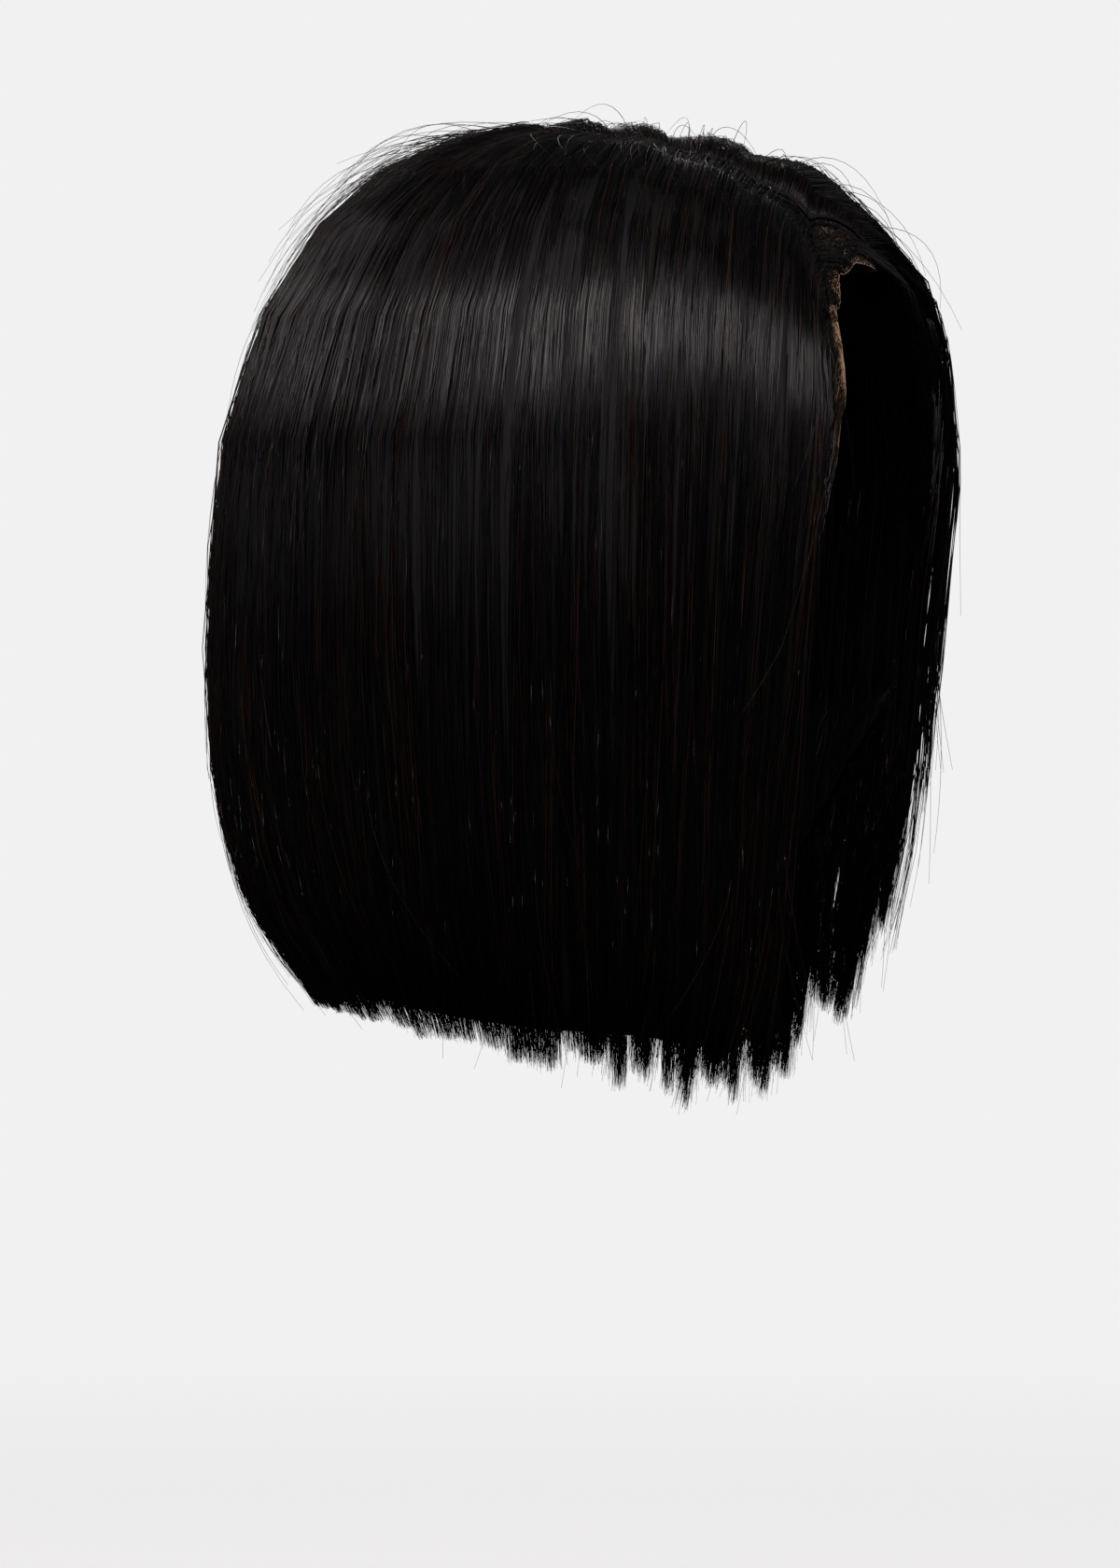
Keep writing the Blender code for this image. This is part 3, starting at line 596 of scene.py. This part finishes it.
def body_grid(places, ways, cut):
    """Outer and inner grids of a hair body, recessed under the strands and cut above the hem."""
    place, way = np.meshgrid(places, ways)
    spot, kept = drawn_back(place, way)
    outer, inner = hair_points(spot, way, kept - cut)
    away = outwards(outer)
    outer = outer + away * (relief(spot, way) - BODY_RECESS)[..., None]
    outer = mix(inner, outer, mix(0.12, 1.0, smooth(0.0, 0.32, way))[..., None])
    inner = mix(inner, outer, (0.8 * smooth(1.75, 2.0, way))[..., None])
    thick = np.linalg.norm(outer - inner, axis=-1, keepdims=True)
    return np.where(thick < BODY_LEAST, inner + away * BODY_LEAST, outer), inner


for number, name in enumerate(SECTIONS):
    first, last = (0.16 if number == 0 else 0.004), (0.78 if number == len(SECTIONS) - 1 else 0.996)
    places = number + np.linspace(first, last, BODY_COLUMNS)
    cut = np.interp(places, *np.array(BODY_CUTS).T)
    outer, inner = body_grid(places, BODY_WAYS, cut[None, :])
    points, faces, spots = shell(outer, inner)
    new_piece(name + "_body", points, (faces,), bulk_fibre, (name,), spots)


# Strands: the hair that is seen, straight fibres 250 mm long in loose locks that come to points at the
# hem. Each strand is a thin closed three-sided thread, tapered to its tip, laid along the same form.

STRAND_RADIUS = 0.00019  # drawn about four times as thick as real fibre, so that single strands show
TONES = 12
CLUMPS = 4.6  # locks in each section at the hem
WISPS = 29.0  # finer wisps in each section
ROOT_SINK = 0.0016
ROOT_RISE = (0.03, 0.26)  # ways by which a strand has risen from the cap to its own height
FRINGE_EDGE = 13.72  # the hair is thinned out in front of this place
FRINGE_THINNED = 0.93  # share of the strands there that are moved back
FRINGE_LOOSENS = (11.8, 12.8)  # places between which the ends turn into the fringe's loose ones
GATHER = 0.06  # share of the way that strands are drawn to their lock's middle at the hem
GATHER_RAGGED = 0.40  # more of it where the hem is ragged
GATHER_FRINGE = 0.55  # and in the fringe's loose ends
GATHER_MOST = 0.92
LOCK_HOLD = 0.42  # the same for locks and wisps between the roots and the widest level
WISP_HOLD = 0.35
WAVES = ((0.00050, 13), (0.00032, 15))  # how far locks and wisps wave in and out, with their seeds
UNEVEN = 0.00018  # how much strands differ in height
LOCK_SWAY = 0.0009  # how far locks and strands wave sideways
STRAND_SWAY = 0.0006
FLICK = 0.0060  # how far a lock's end turns aside
STRAY = 0.0006  # how far a strand's end strays, a few up to nine times as far
LOCK_LENGTH = 0.0075  # how much longer or shorter whole locks are
LOCK_POINT = 0.024  # how much shorter a ragged lock is at its edges
TIP_REACH = 0.0035  # how far the longest strands reach below their line


def hashed(number, seed):
    """An even random number from 0 to 1 for each whole number."""
    value = np.sin(np.asarray(number) * 12.9898 + seed * 78.233) * 43758.5453
    return value - np.floor(value)


def lock_number(place):
    """Which lock hair of a place ends in, with the place inside it as a fraction: locks differ in width."""
    return place * CLUMPS + 0.45 * np.sin(place * 3.7) + 0.20 * np.sin(place * 8.9)


def lock_middle(lock):
    """The place round the head of a lock's middle."""
    places = np.linspace(-1, len(SECTIONS) + 1, 3200)
    return np.interp(lock + 0.5, lock_number(places), places)


def strand_mesh(paths, radius, tone):
    """Points, faces and map of tapered strands along paths shaped (strand, station, axis)."""
    strands, stations = paths.shape[:2]
    low, high = (tone + 0.15) / TONES, (tone + 0.85) / TONES
    u = np.stack([mix(low, high, k / 3) for k in range(4)], -1)  # strand, corner
    v = 0.02 + 0.96 * (np.arange(stations) / (stations - 1))
    quad_uv = np.empty((strands, stations - 1, 3, 4, 2))
    quad_uv[..., 0] = u[:, np.arange(3)[:, None] + (0, 0, 1, 1)][:, None]
    quad_uv[..., 1] = v[np.arange(stations - 1)[:, None, None] + (0, 1, 1, 0)]
    end_uv = np.empty((strands, 2, 3, 2))
    end_uv[..., 0] = u[:, None, :3]
    end_uv[..., 1] = ((0, 0.005, 0), (1, 0.995, 1))
    uv = np.concatenate((quad_uv.reshape(-1, 2), end_uv.reshape(-1, 2)))
    return *thread_mesh(paths, radius, outwards(paths)), uv


def tones(rng, count, power):
    """A tone for each strand: the higher the power, the more of them are dark."""
    return (rng.random(count) ** power * TONES).astype(int)


def join_strands(name, batches, replaced=()):
    """One piece of strand_fibre from several strand meshes."""
    points, quads, ends, maps = zip(*batches)
    firsts = np.cumsum([0] + [len(batch) for batch in points])
    faces = [np.concatenate([batch + first for batch, first in zip(lot, firsts)]) for lot in (quads, ends)]
    uv = [batch[: q.size] for batch, q in zip(maps, quads)]
    uv += [batch[q.size :] for batch, q in zip(maps, quads)]
    new_piece(name, np.concatenate(points), faces, strand_fibre, replaced, np.concatenate(uv))


def lay_strands(rng, place, start, depth, tip, stations, loose=1.0, radius=STRAND_RADIUS):
    """A batch of strands from arrays: place round the head, start way, depth in the hair and tip."""
    place, start, depth, tip = (values[:, None] for values in (place, start, depth, tip))
    count, share = place.shape, np.array(stations)[None, :]
    way = start + (2 - start) * share
    line = line_at(place)

    # Towards the hem, strands draw together into locks, and inside them into finer wisps.
    lock = np.floor(lock_number(place))
    wisp = np.floor(place * WISPS + 0.7 * hashed(np.floor(place * 5), 10))
    to_lock = lock_middle(lock + 0.4 * (hashed(lock, 1) - 0.5)) - place
    to_wisp = (wisp + 0.5 + 0.6 * (hashed(wisp, 2) - 0.5)) / WISPS - place
    fringe = smooth(*FRINGE_LOOSENS, place)
    gather = GATHER + GATHER_RAGGED * np.clip(line["rag"] - 0.7, 0, 1) + GATHER_FRINGE * fringe
    gather = np.clip(gather * (0.5 + 1.0 * hashed(lock, 3)), 0, GATHER_MOST)
    held = smooth(0.08, 0.35, way) * (1 - smooth(0.7, 1.2, way))
    lock_pull = gather * smooth(1.25 - 0.30 * fringe, 1.95, way) + LOCK_HOLD * hashed(lock, 12) * held
    wisp_pull = hashed(wisp, 4) * (0.5 * smooth(0.1, 1.9, way) + WISP_HOLD * held)
    spot = place + to_lock * lock_pull + to_wisp * wisp_pull
    spot, kept = drawn_back(np.clip(spot, 0, len(SECTIONS)), way)

    # They lie at their depth in the hair, over the locks' ridges, and wave in and out.
    outer, inner = hair_points(spot, way, tip + kept)
    path = mix(outer, inner, depth[..., None])
    away = outwards(path)
    emerge = np.where(start > 0, 1 - smooth(0, 0.45, share), 0) * np.sign(0.9 - depth)
    height = relief(spot, way) * (1 - np.clip(depth * 1.6, 0, 1)) - ROOT_SINK * emerge
    waving = smooth(0.1, 0.35, way) * (1 - 0.6 * smooth(1.1, 1.7, way))
    for number, (size, seed) in zip((lock, wisp), WAVES):
        turns = hashed(number, seed) + way * (1.1 + 1.3 * hashed(number, seed + 1))
        height = height + size * waving * np.sin(2 * np.pi * turns)
    height = height + rng.normal(0, UNEVEN, count) * loose
    path = path + away * height[..., None]

    # They sway and stray sideways, and some locks turn aside at their ends.
    side = unit(np.cross(np.gradient(path, axis=1), away))
    turns = hashed(lock, 7) + way * (0.3 + 0.5 * hashed(lock, 8))
    own_turns = rng.random(count) + way * rng.uniform(0.2, 0.9, count)
    sway = LOCK_SWAY * np.sin(2 * np.pi * turns) + STRAND_SWAY * loose * np.sin(2 * np.pi * own_turns)
    flick = FLICK * (hashed(lock, 11) - 0.45) * np.clip(line["rag"] - 0.4, 0.15, 1)
    sway = sway + flick * smooth(1.7, 2.05, way) ** 1.5
    stray = rng.normal(0, STRAY, count) * loose * smooth(0.3, 2.0, way)
    stray = stray + rng.standard_t(2, count).clip(-9, 9) * STRAY * smooth(1.75, 2.0, way)
    path = path + side * ((sway + stray) * smooth(0.02, 0.5, way))[..., None]

    # Those that start at the roots rise from the cap, and round the crown they start all over its spot.
    root = root_plan(line["root"])
    crown = np.array((HEAD_BREADTH / 2, HEAD_LENGTH / 2)) * PARTING_CROWN
    at_crown = smooth(ROOT_SHARES[1] - 0.04, ROOT_SHARES[1] + 0.01, line["root"])
    at_crown = at_crown * (1 - smooth(ROOT_SHARES[2] - 0.01, ROOT_SHARES[2] + 0.04, line["root"]))
    root = mix(root, crown, (at_crown * rng.random(count) ** 0.7)[..., None])
    top = dome(root, HEAD_BREADTH / 2 + CAP_WALL, HEAD_LENGTH / 2 + CAP_WALL, HEAD_SQUARENESS)
    top = (HEAD_CROWN_HEIGHT + CAP_WALL) * top
    rise = rng.uniform(*ROOT_RISE, count) * np.where(place > TUFTED[0], 0.6, 1.0)
    rooted = np.where(start > 0, 0, 1 - smooth(0, rise, way))
    path = mix(path, lifted(root, top - HEAD_CROWN_HEIGHT), rooted[..., None])
    taper = mix(0.6, 1.0, smooth(0, 0.15, share)) * mix(1.0, 0.22, smooth(0.45, 1.0, share) ** 1.3)
    width = radius * rng.uniform(0.75, 1.2, count) * taper
    return strand_mesh(path, width, tones(rng, len(place), 1.6))


def hem_tips(rng, place, spread):
    """How much longer or shorter each strand is: locks differ, and their edges are shorter."""
    rag, inside = line_at(place)["rag"], lock_number(place)
    lock = np.floor(inside)
    ragged = np.clip(rag - 0.5, 0.05, 1.2)
    locks = mix(-LOCK_LENGTH, LOCK_LENGTH, hashed(lock, 9)) * ragged
    edge = np.abs(inside - lock - 0.5) ** 1.5 * LOCK_POINT * ragged
    return locks - edge - rng.exponential(spread, len(place)) * rag + TIP_REACH


def fringe_thinned(rng, place):
    """Moves most strands back from the fringe's front edge, where the hair is thin enough to see through."""
    moved = (place > FRINGE_EDGE) & (rng.random(len(place)) < FRINGE_THINNED)
    return np.where(moved, place - rng.uniform(0.2, 1.0, len(place)) * (14 - FRINGE_EDGE) * 2.2, place)


# Modacrylic fibre, single strands: black with a few warm brown ones, smooth, with a tight highlight.
strand_fibre = new_material("modacrylic_fibre_strand", Roughness=0.36, Specular_IOR_Level=0.5, IOR=1.5)
strand_map = node(strand_fibre, "ShaderNodeUVMap", uv_map="OFBake")
strand_axes = node(strand_fibre, "ShaderNodeSeparateXYZ", [("Vector", strand_map, "UV")])
strand_noise = node(
    strand_fibre, "ShaderNodeTexNoise", [("Vector", strand_map, "UV")], in_Scale=14.0, in_Detail=2.0
)
strand_shift = node(
    strand_fibre, "ShaderNodeMath", [(0, strand_noise, "Fac"), (2, strand_axes, "X")],
    operation="MULTIPLY_ADD", in_1=0.08,
)
node(
    strand_fibre, "ShaderNodeValToRGB", [("Fac", strand_shift, "Value")],
    ((0.0, "#030202"), (0.45, "#080605"), (0.80, "#110b09"), (0.95, "#271812"), (1.0, "#3c271c")),
    to=("Color", "Principled BSDF", "Base Color"),
)
strand_step = node(strand_fibre, "ShaderNodeMath", [(0, strand_axes, "X")], operation="SNAP", in_1=1 / 36)
strand_lot = node(
    strand_fibre, "ShaderNodeTexWhiteNoise", [("W", strand_step, "Value")], noise_dimensions="1D"
)
node(
    strand_fibre, "ShaderNodeMapRange", [("Value", strand_lot, "Value")], in_3=0.17, in_4=0.36,
    to=("Result", "Principled BSDF", "Roughness"),
)

# One row for each lot in a piece: first and last start way, least and greatest depth in the hair, how
# they crowd at the least, how their lengths differ, and their stations. The lots start at the roots,
# start lower down, fill the hem and line the inside.
STRAND_LOTS = (
    (0.0, 0.0, 0.0, 0.16, 2, 0.002, (0.0, 0.025, 0.08, 0.15, 0.225, 0.31, 0.40, 0.50, 0.67, 0.84, 1.0)),
    (0.08, 0.85, 0.0, 0.12, 2, 0.0025, (0.0, 0.06, 0.16, 0.29, 0.44, 0.62, 0.81, 1.0)),
    (1.35, 1.65, 0.0, 1.0, 1, 0.003, (0.0, 0.25, 0.5, 0.75, 1.0)),
    (0.45, 1.1, 0.99, 1.03, 1, 0.008, (0.0, 0.15, 0.3, 0.5, 0.75, 1.0)),
)
LOOSE_STRANDS = 170  # in each piece, lying loosely over the others and a little across them

# One row for each piece: its name, the places it covers, and how many strands each lot has.
STRAND_PIECES = (
    ("right_front_strands", 0.0, 2.0, 950, 570, 850, 240),
    ("right_rear_strands", 2.0, 4.0, 900, 570, 800, 140),
    ("back_right_strands", 4.0, 6.5, 730, 560, 760, 100),
    ("back_left_strands", 6.5, 9.0, 730, 560, 760, 100),
    ("left_side_strands", 9.0, 12.0, 1000, 650, 850, 280),
    ("fringe_strands", 12.0, 14.0, 960, 540, 760, 400),
)
for index, (name, low, high, *counts) in enumerate(STRAND_PIECES):
    rng = np.random.default_rng(500 + index)
    batches = []
    for count, (first, last, near, far, crowding, spread, stations) in zip(counts, STRAND_LOTS):
        place = rng.uniform(low, high, count)
        if near == 0:  # the lining isn't thinned
            place = fringe_thinned(rng, place)
        start = rng.uniform(first, last, count) if last else np.zeros(count)
        depth = mix(near, far, rng.random(count) ** crowding)
        batches.append(lay_strands(rng, place, start, depth, hem_tips(rng, place, spread), stations))
    place = fringe_thinned(rng, rng.uniform(low, high, LOOSE_STRANDS))
    rooted = rng.random(LOOSE_STRANDS) < 0.6
    start = np.where(rooted, 0.0, rng.uniform(0.05, 0.5, LOOSE_STRANDS))
    depth, tip, stations = np.full(LOOSE_STRANDS, -0.02), hem_tips(rng, place, 0.012), STRAND_LOTS[0][-1]
    batches.append(lay_strands(rng, place, start, depth, tip, stations, 3.2, STRAND_RADIUS * 0.8))
    join_strands(name, batches)


# Hairline: hairs knotted one by one into the lace, from its front edge back. Those on the right fall with
# the hair beside the face, and the rest are swept into the fringe or hang inside the left curtain.

HAIRLINE = (  # angles from and to, and how many hairs: on the right, on the left and over the forehead
    (26, 52, 420), (-52, 33, 480), (-4, 33, 240),
)
TEMPLE_ANGLE = 45.0
PARTING_ANGLE = 35.6
FOREHEAD_ANGLE = -6.8
KNOT_ARCH = 0.0012  # how far a hair stands up where it leaves its knot

rng = np.random.default_rng(61)
angle = np.concatenate([rng.uniform(*spread) for spread in HAIRLINE])
count = len(angle)
depth_in_lace = rng.random(count) ** 1.4
taper = np.sqrt(np.clip(1 - (angle / LACE_SPAN) ** 4, 0, 1))
knot = down_head(angle, edge_way(angle) - LACE_DEPTH / CROWN_ARC * taper * depth_in_lace, LACE_HEIGHT)
knot = knot[:, None, :]
on_right = np.arange(count) < HAIRLINE[0][-1]
right_place = np.interp(angle, (PARTING_ANGLE, TEMPLE_ANGLE), (0.83, 0.02))
left_place = np.interp(angle, (-52, FOREHEAD_ANGLE, PARTING_ANGLE), (12.7, 13.97, 13.1))
place = np.where(on_right, right_place, left_place)
place = place + rng.uniform(0, 0.12, count) * np.where(on_right, 1, -1)
near, far = rng.random(count) * 0.5, rng.uniform(0.8, 1.0, count)
depth = np.where(on_right | (angle > FOREHEAD_ANGLE), near, far)
tip = hem_tips(rng, place, 0.010)[:, None]
place = place[:, None]
tries = np.linspace(0, 1.3, 60)  # a hair joins the hair's form where that comes nearest to its knot
gap = np.linalg.norm(mix(*hair_points(place, tries[None, :]), 0.5) - knot, axis=-1)
start = tries[np.argmin(gap, axis=1)][:, None]
share = np.linspace(0, 1, 10)[None, :] ** 1.15
path = mix(*hair_points(place, start + (2 - start) * share, tip), depth[:, None, None])
path = mix(knot, path, smooth(0.0, 0.32, share)[..., None])
path = path + outwards(path) * (KNOT_ARCH * np.sin(np.pi * np.clip(share / 0.3, 0, 1)))[..., None]
width = STRAND_RADIUS * 0.85 * mix(1.0, 0.3, smooth(0.5, 1.0, share))
hairs = strand_mesh(path, width, tones(rng, count, 1.4))
join_strands("hairline_strands", [hairs])


# Nape layer: shorter hair sewn to the back of the cap, which fills the space under the back hair. Its
# three bodies replace their solids, and a piece of loose strands covers them.

NAPE_LAYER_TOP = 0.124
NAPE_LAYER_DROP = 0.236
NAPE_LAYER_SEAT = 0.0006
NAPE_LAYER_EDGE = 0.0016
NAPE_LAYER_WALL = 0.0090
NAPE_LAYER_GAP = 0.0032
NAPE_SECTIONS = (
    ("nape_layer_right", 4.15, 5.4), ("nape_layer_centre", 5.4, 7.6), ("nape_layer_left", 7.6, 8.85),
)
NAPE_STRANDS = 900
NAPE_BODY_CUT = 0.012  # how far above its hem a body ends


def nape_points(place, share, tip=0.0):
    """Outer and inner points of the lower layer, from its sewn edge down to its hem."""
    line = line_at(place)
    drop = mix(NAPE_LAYER_TOP, NAPE_LAYER_DROP + tip, share)
    hem = FRONT_DROP * line["drop"] - HEM_BEVEL
    over = hair_points(place, 1 + (drop - HEAD_CROWN_HEIGHT) / (hem - HEAD_CROWN_HEIGHT))[1]
    away = outwards(over)
    outer = over - away * NAPE_LAYER_GAP
    inner = outer - away * NAPE_LAYER_WALL
    way = np.minimum(drop, CAP_NAPE_DROP) / HEAD_CROWN_HEIGHT
    sewn = []
    for lift in (NAPE_LAYER_SEAT + NAPE_LAYER_EDGE, NAPE_LAYER_SEAT):
        spot = down_head(line["hang"], way, CAP_WALL + lift)
        spot[..., 2] = over[..., 2]
        sewn.append(spot)
    outer = mix(sewn[0], outer, smooth(0.0, 0.4, share)[..., None])
    return outer, mix(sewn[1], inner, smooth(0.1, 0.6, share)[..., None])


for name, start, end in NAPE_SECTIONS:
    place, share = np.meshgrid(np.linspace(start + 0.01, end - 0.01, 34), np.linspace(0, 1, 20))
    outer, inner = nape_points(place, share, -NAPE_BODY_CUT)
    points, faces, spots = shell(outer, inner)
    new_piece(name + "_body", points, (faces,), bulk_fibre, (name,), spots)

rng = np.random.default_rng(77)
place = rng.uniform(NAPE_SECTIONS[0][1], NAPE_SECTIONS[-1][2], NAPE_STRANDS)
share = np.linspace(0, 1, 7)[None, :]
covering = rng.random(NAPE_STRANDS) < 0.65
depth = np.where(covering, rng.uniform(0.93, 1.03, NAPE_STRANDS), rng.random(NAPE_STRANDS))
tip = rng.uniform(-0.016, 0.006, NAPE_STRANDS)
spot = place[:, None] + rng.normal(0, 0.03, NAPE_STRANDS)[:, None] * share
outer, inner = nape_points(spot, np.broadcast_to(share, spot.shape), tip[:, None])
path = mix(outer, inner, depth[:, None, None])
width = STRAND_RADIUS * mix(1.0, 0.3, share**2)
tone = (rng.random(NAPE_STRANDS) * TONES * 0.6).astype(int)
join_strands("nape_strands", [strand_mesh(path, width, tone)])


# Fringe wisp: a thin lock of a few dozen strands that hangs clear of the fringe's front edge. The strands
# spread from one line and replace the solid lock.

WISP_WIDTH = 0.0050
WISP_THICKNESS = 0.0020
WISP_START = 0.0030
WISP_CLEARANCE = 0.0042
WISP_PLACE = 13.80
WISP_WAYS = (0.36, 1.55)
WISP_STRANDS = 60
WISP_STATIONS = 16

rng = np.random.default_rng(91)
share = np.linspace(0, 1, WISP_STATIONS)
way = mix(*WISP_WAYS, share)
spine = hair_points(WISP_PLACE, way)[0]
across = unit(hair_points(WISP_PLACE - 0.1, way)[0] - spine)
away = outwards(spine)
spine = spine + away * mix(-WISP_START, WISP_CLEARANCE, smooth(0.0, 0.35, share))[:, None]
size = 1 - 0.8 * np.abs(2 * share - 0.8) ** 2 / 1.44
aside = rng.uniform(-0.5, 0.5, WISP_STRANDS)[:, None] * WISP_WIDTH * size
apart = rng.uniform(-0.5, 0.5, WISP_STRANDS)[:, None] * WISP_THICKNESS * size
curve = 0.0006 * np.sin(2 * np.pi * (rng.random(WISP_STRANDS)[:, None] + share * 1.3))
path = spine + (aside + curve)[..., None] * across + apart[..., None] * away
shortened = rng.uniform(0.72, 1.0, WISP_STRANDS)[:, None]
stations = np.arange(WISP_STATIONS)[None, :] * shortened
low = np.clip(stations.astype(int), 0, WISP_STATIONS - 2)
rows = np.arange(WISP_STRANDS)[:, None]
path = mix(path[rows, low], path[rows, low + 1], (stations - low)[..., None])
hairs = strand_mesh(path, STRAND_RADIUS * mix(1.0, 0.3, share**2), tones(rng, WISP_STRANDS, 1))
join_strands("fringe_wisp_strands", [hairs], ("fringe_wisp",))


# Flyaways: single strands that stand off the crown, the back, the hem and the face edges, as brushed
# fibre does. They arch away from the form and stay close to it.

FLYAWAY_RADIUS = 0.00012
FLYAWAYS = (  # places, start ways, spans, how far they stand off, how far they stray, how many
    (3.5, 9.5, 0.06, 0.30, 0.15, 0.45, 0.0090, 0.016, 170),
    (0.5, 3.5, 0.06, 0.20, 0.12, 0.40, 0.006, 0.010, 40),
    (9.0, 13.5, 0.06, 0.25, 0.15, 0.50, 0.009, 0.014, 100),
    (4.2, 9.0, 0.30, 1.50, 0.15, 0.35, 0.0016, 0.003, 170),
    (4.5, 8.0, 0.60, 1.30, 0.40, 0.80, 0.004, 0.012, 34),
    (0.0, 14.0, 1.30, 1.70, 0.30, 0.70, 0.003, 0.009, 170),
    (0.0, 0.25, 0.30, 1.10, 0.40, 0.90, 0.002, 0.010, 26),
    (13.6, 14.0, 0.20, 1.00, 0.40, 0.90, 0.003, 0.008, 40),
    (1.0, 4.0, 0.20, 1.20, 0.40, 0.90, 0.0015, 0.008, 50),
)
rng = np.random.default_rng(300)
share = np.linspace(0, 1, 10)[None, :]
batches = []
for low, high, first, last, short, long, off, stray, count in FLYAWAYS:
    count = (count, 1)
    place = rng.uniform(low, high, count)
    start = rng.uniform(first, last, count)
    way = start + np.minimum(2.0 - start, rng.uniform(short, long, count)) * share
    path = hair_points(place, way, rng.uniform(-0.002, 0.008, count))[0]
    away = outwards(path)
    side = unit(np.cross(np.gradient(path, axis=1), away))
    arch = off * rng.random(count) ** 1.6 * np.sin(np.pi * share * rng.uniform(0.5, 1.0, count))
    bend = stray * rng.normal(0, 1, count) * share**1.6
    path = path + away * (arch + relief(place, way))[..., None] + side * bend[..., None]
    batches.append(strand_mesh(path, FLYAWAY_RADIUS * mix(1.0, 0.4, share), tones(rng, len(place), 1)))
join_strands("flyaway_strands", batches)


# Studio: a plain pale floor, lit evenly enough that it runs into the pale background with no line. The
# wig is held above it as a head would hold it. Light comes from all round, dimmer on the camera's side.

FLOOR_DROP = 0.62
FLOOR_RADIUS = 40.0
BACKDROP = "#f2f1f2"
LIGHT_COLOUR = "#fff6f7"  # all lamps, a little warmer than the fill
bpy.ops.object.select_all(action="DESELECT")
bpy.ops.mesh.primitive_circle_add(
    vertices=96, radius=FLOOR_RADIUS, fill_type="NGON", location=(0, 0, -FLOOR_DROP)
)
floor = bpy.context.object
floor.name = "floor"

# Matt white paint. It glows just enough to look as pale as the background, but hardly lights the wig.
floor_paint = new_material(
    "matt_white_paint", Base_Color=linear("#8a8988"), Roughness=0.95, Specular_IOR_Level=0.0,
    Emission_Color=linear("#ecebeb"), Emission_Strength=0.86,
)
floor.data.materials.append(floor_paint)
glow = floor_paint.node_tree.nodes["Principled BSDF"]
floor_far = node(floor_paint, "ShaderNodeEmission", in_Color=linear(BACKDROP))
floor_dim = node(floor_paint, "ShaderNodeEmission", in_Color=linear("#efeeee"), in_Strength=0.03)
floor_place = node(floor_paint, "ShaderNodeTexCoord")
floor_reach = node(
    floor_paint, "ShaderNodeVectorMath", [("Vector", floor_place, "Object")], operation="LENGTH"
)
floor_fade = node(
    floor_paint, "ShaderNodeMapRange", [("Value", floor_reach, "Value")],
    interpolation_type="SMOOTHSTEP", in_1=0.8, in_2=4.0,
)
floor_blend = node(
    floor_paint, "ShaderNodeMixShader",
    [(0, floor_fade, "Result"), (1, glow, "BSDF"), (2, floor_far, "Emission")],
)
floor_seen = node(floor_paint, "ShaderNodeLightPath")
node(
    floor_paint, "ShaderNodeMixShader",
    [(0, floor_seen, "Is Camera Ray"), (1, floor_dim, "Emission"), (2, floor_blend, "Shader")],
    to=("Shader", "Material Output", "Surface"),
)

world = bpy.data.worlds.new("studio")
bpy.context.scene.world = world
world.use_nodes = True
seen = world.node_tree.nodes["Background"]
seen.inputs["Color"].default_value = linear(BACKDROP)
ways = node(world, "ShaderNodeTexCoord")
away_from_camera = node(world, "ShaderNodeSeparateXYZ", [("Vector", ways, "Generated")])
room = node(
    world, "ShaderNodeMapRange", [("Value", away_from_camera, "X")],
    in_1=-1.0, in_2=1.0, in_3=0.006, in_4=0.12,
)
fill = node(world, "ShaderNodeBackground", [("Strength", room, "Result")], in_Color=linear("#f3f3f6"))
rays = node(world, "ShaderNodeLightPath")
node(
    world, "ShaderNodeMixShader",
    [(0, rays, "Is Camera Ray"), (1, fill, "Background"), (2, seen, "Background")],
    to=("Shader", "World Output", "Surface"),
)

# One row for each soft light: name, place, point it faces, width, height, power in watts.
LIGHTS = (
    ("key", (-1.68, 0.38, 1.33), (0, 0, -0.06), 1.8, 0.64, 28.5),
    ("back", (2.0, 0.5, 1.0), (0, 0, -0.05), 1.6, 0.9, 14.0),
    ("front", (-0.2, -2.1, 1.0), (0, 0, -0.10), 1.2, 0.8, 9.0),
    ("rear", (0.1, 2.1, 1.2), (0, 0, -0.10), 1.2, 0.8, 9.0),
)
for name, place, target, width, height, power in LIGHTS:
    lamp = bpy.data.lights.new(name, "AREA")
    lamp.shape = "RECTANGLE"
    lamp.color = linear(LIGHT_COLOUR)[:3]
    lamp.size, lamp.size_y, lamp.energy = width, height, power
    holder = bpy.data.objects.new(name, lamp)
    bpy.context.scene.collection.objects.link(holder)
    holder.location = place
    aim = Vector(target) - Vector(place)
    holder.rotation_euler = aim.to_track_quat("-Z", "Y").to_euler()

# Camera: level with the middle of the wig, square to the wearer's right side.
CAMERA_DISTANCE = 2.5
PIXEL = 0.000285  # one pixel of the photograph at the wig's middle
ORIGIN_PIXEL = (657, 165)
PHOTO_SIZE = (1200, 1680)
camera_data = bpy.data.cameras.new("camera")
camera_data.sensor_width = 36.0
camera_data.lens = 36.0 * CAMERA_DISTANCE / (PHOTO_SIZE[1] * PIXEL)
camera = bpy.data.objects.new("camera", camera_data)
bpy.context.scene.collection.objects.link(camera)
camera.location = (
    -CAMERA_DISTANCE,
    (ORIGIN_PIXEL[0] - PHOTO_SIZE[0] / 2) * PIXEL,
    (ORIGIN_PIXEL[1] - PHOTO_SIZE[1] / 2) * PIXEL,
)
camera.rotation_euler = (math.radians(90), 0, math.radians(-90))
bpy.context.scene.camera = camera
bpy.context.scene.view_settings.view_transform = "Standard"
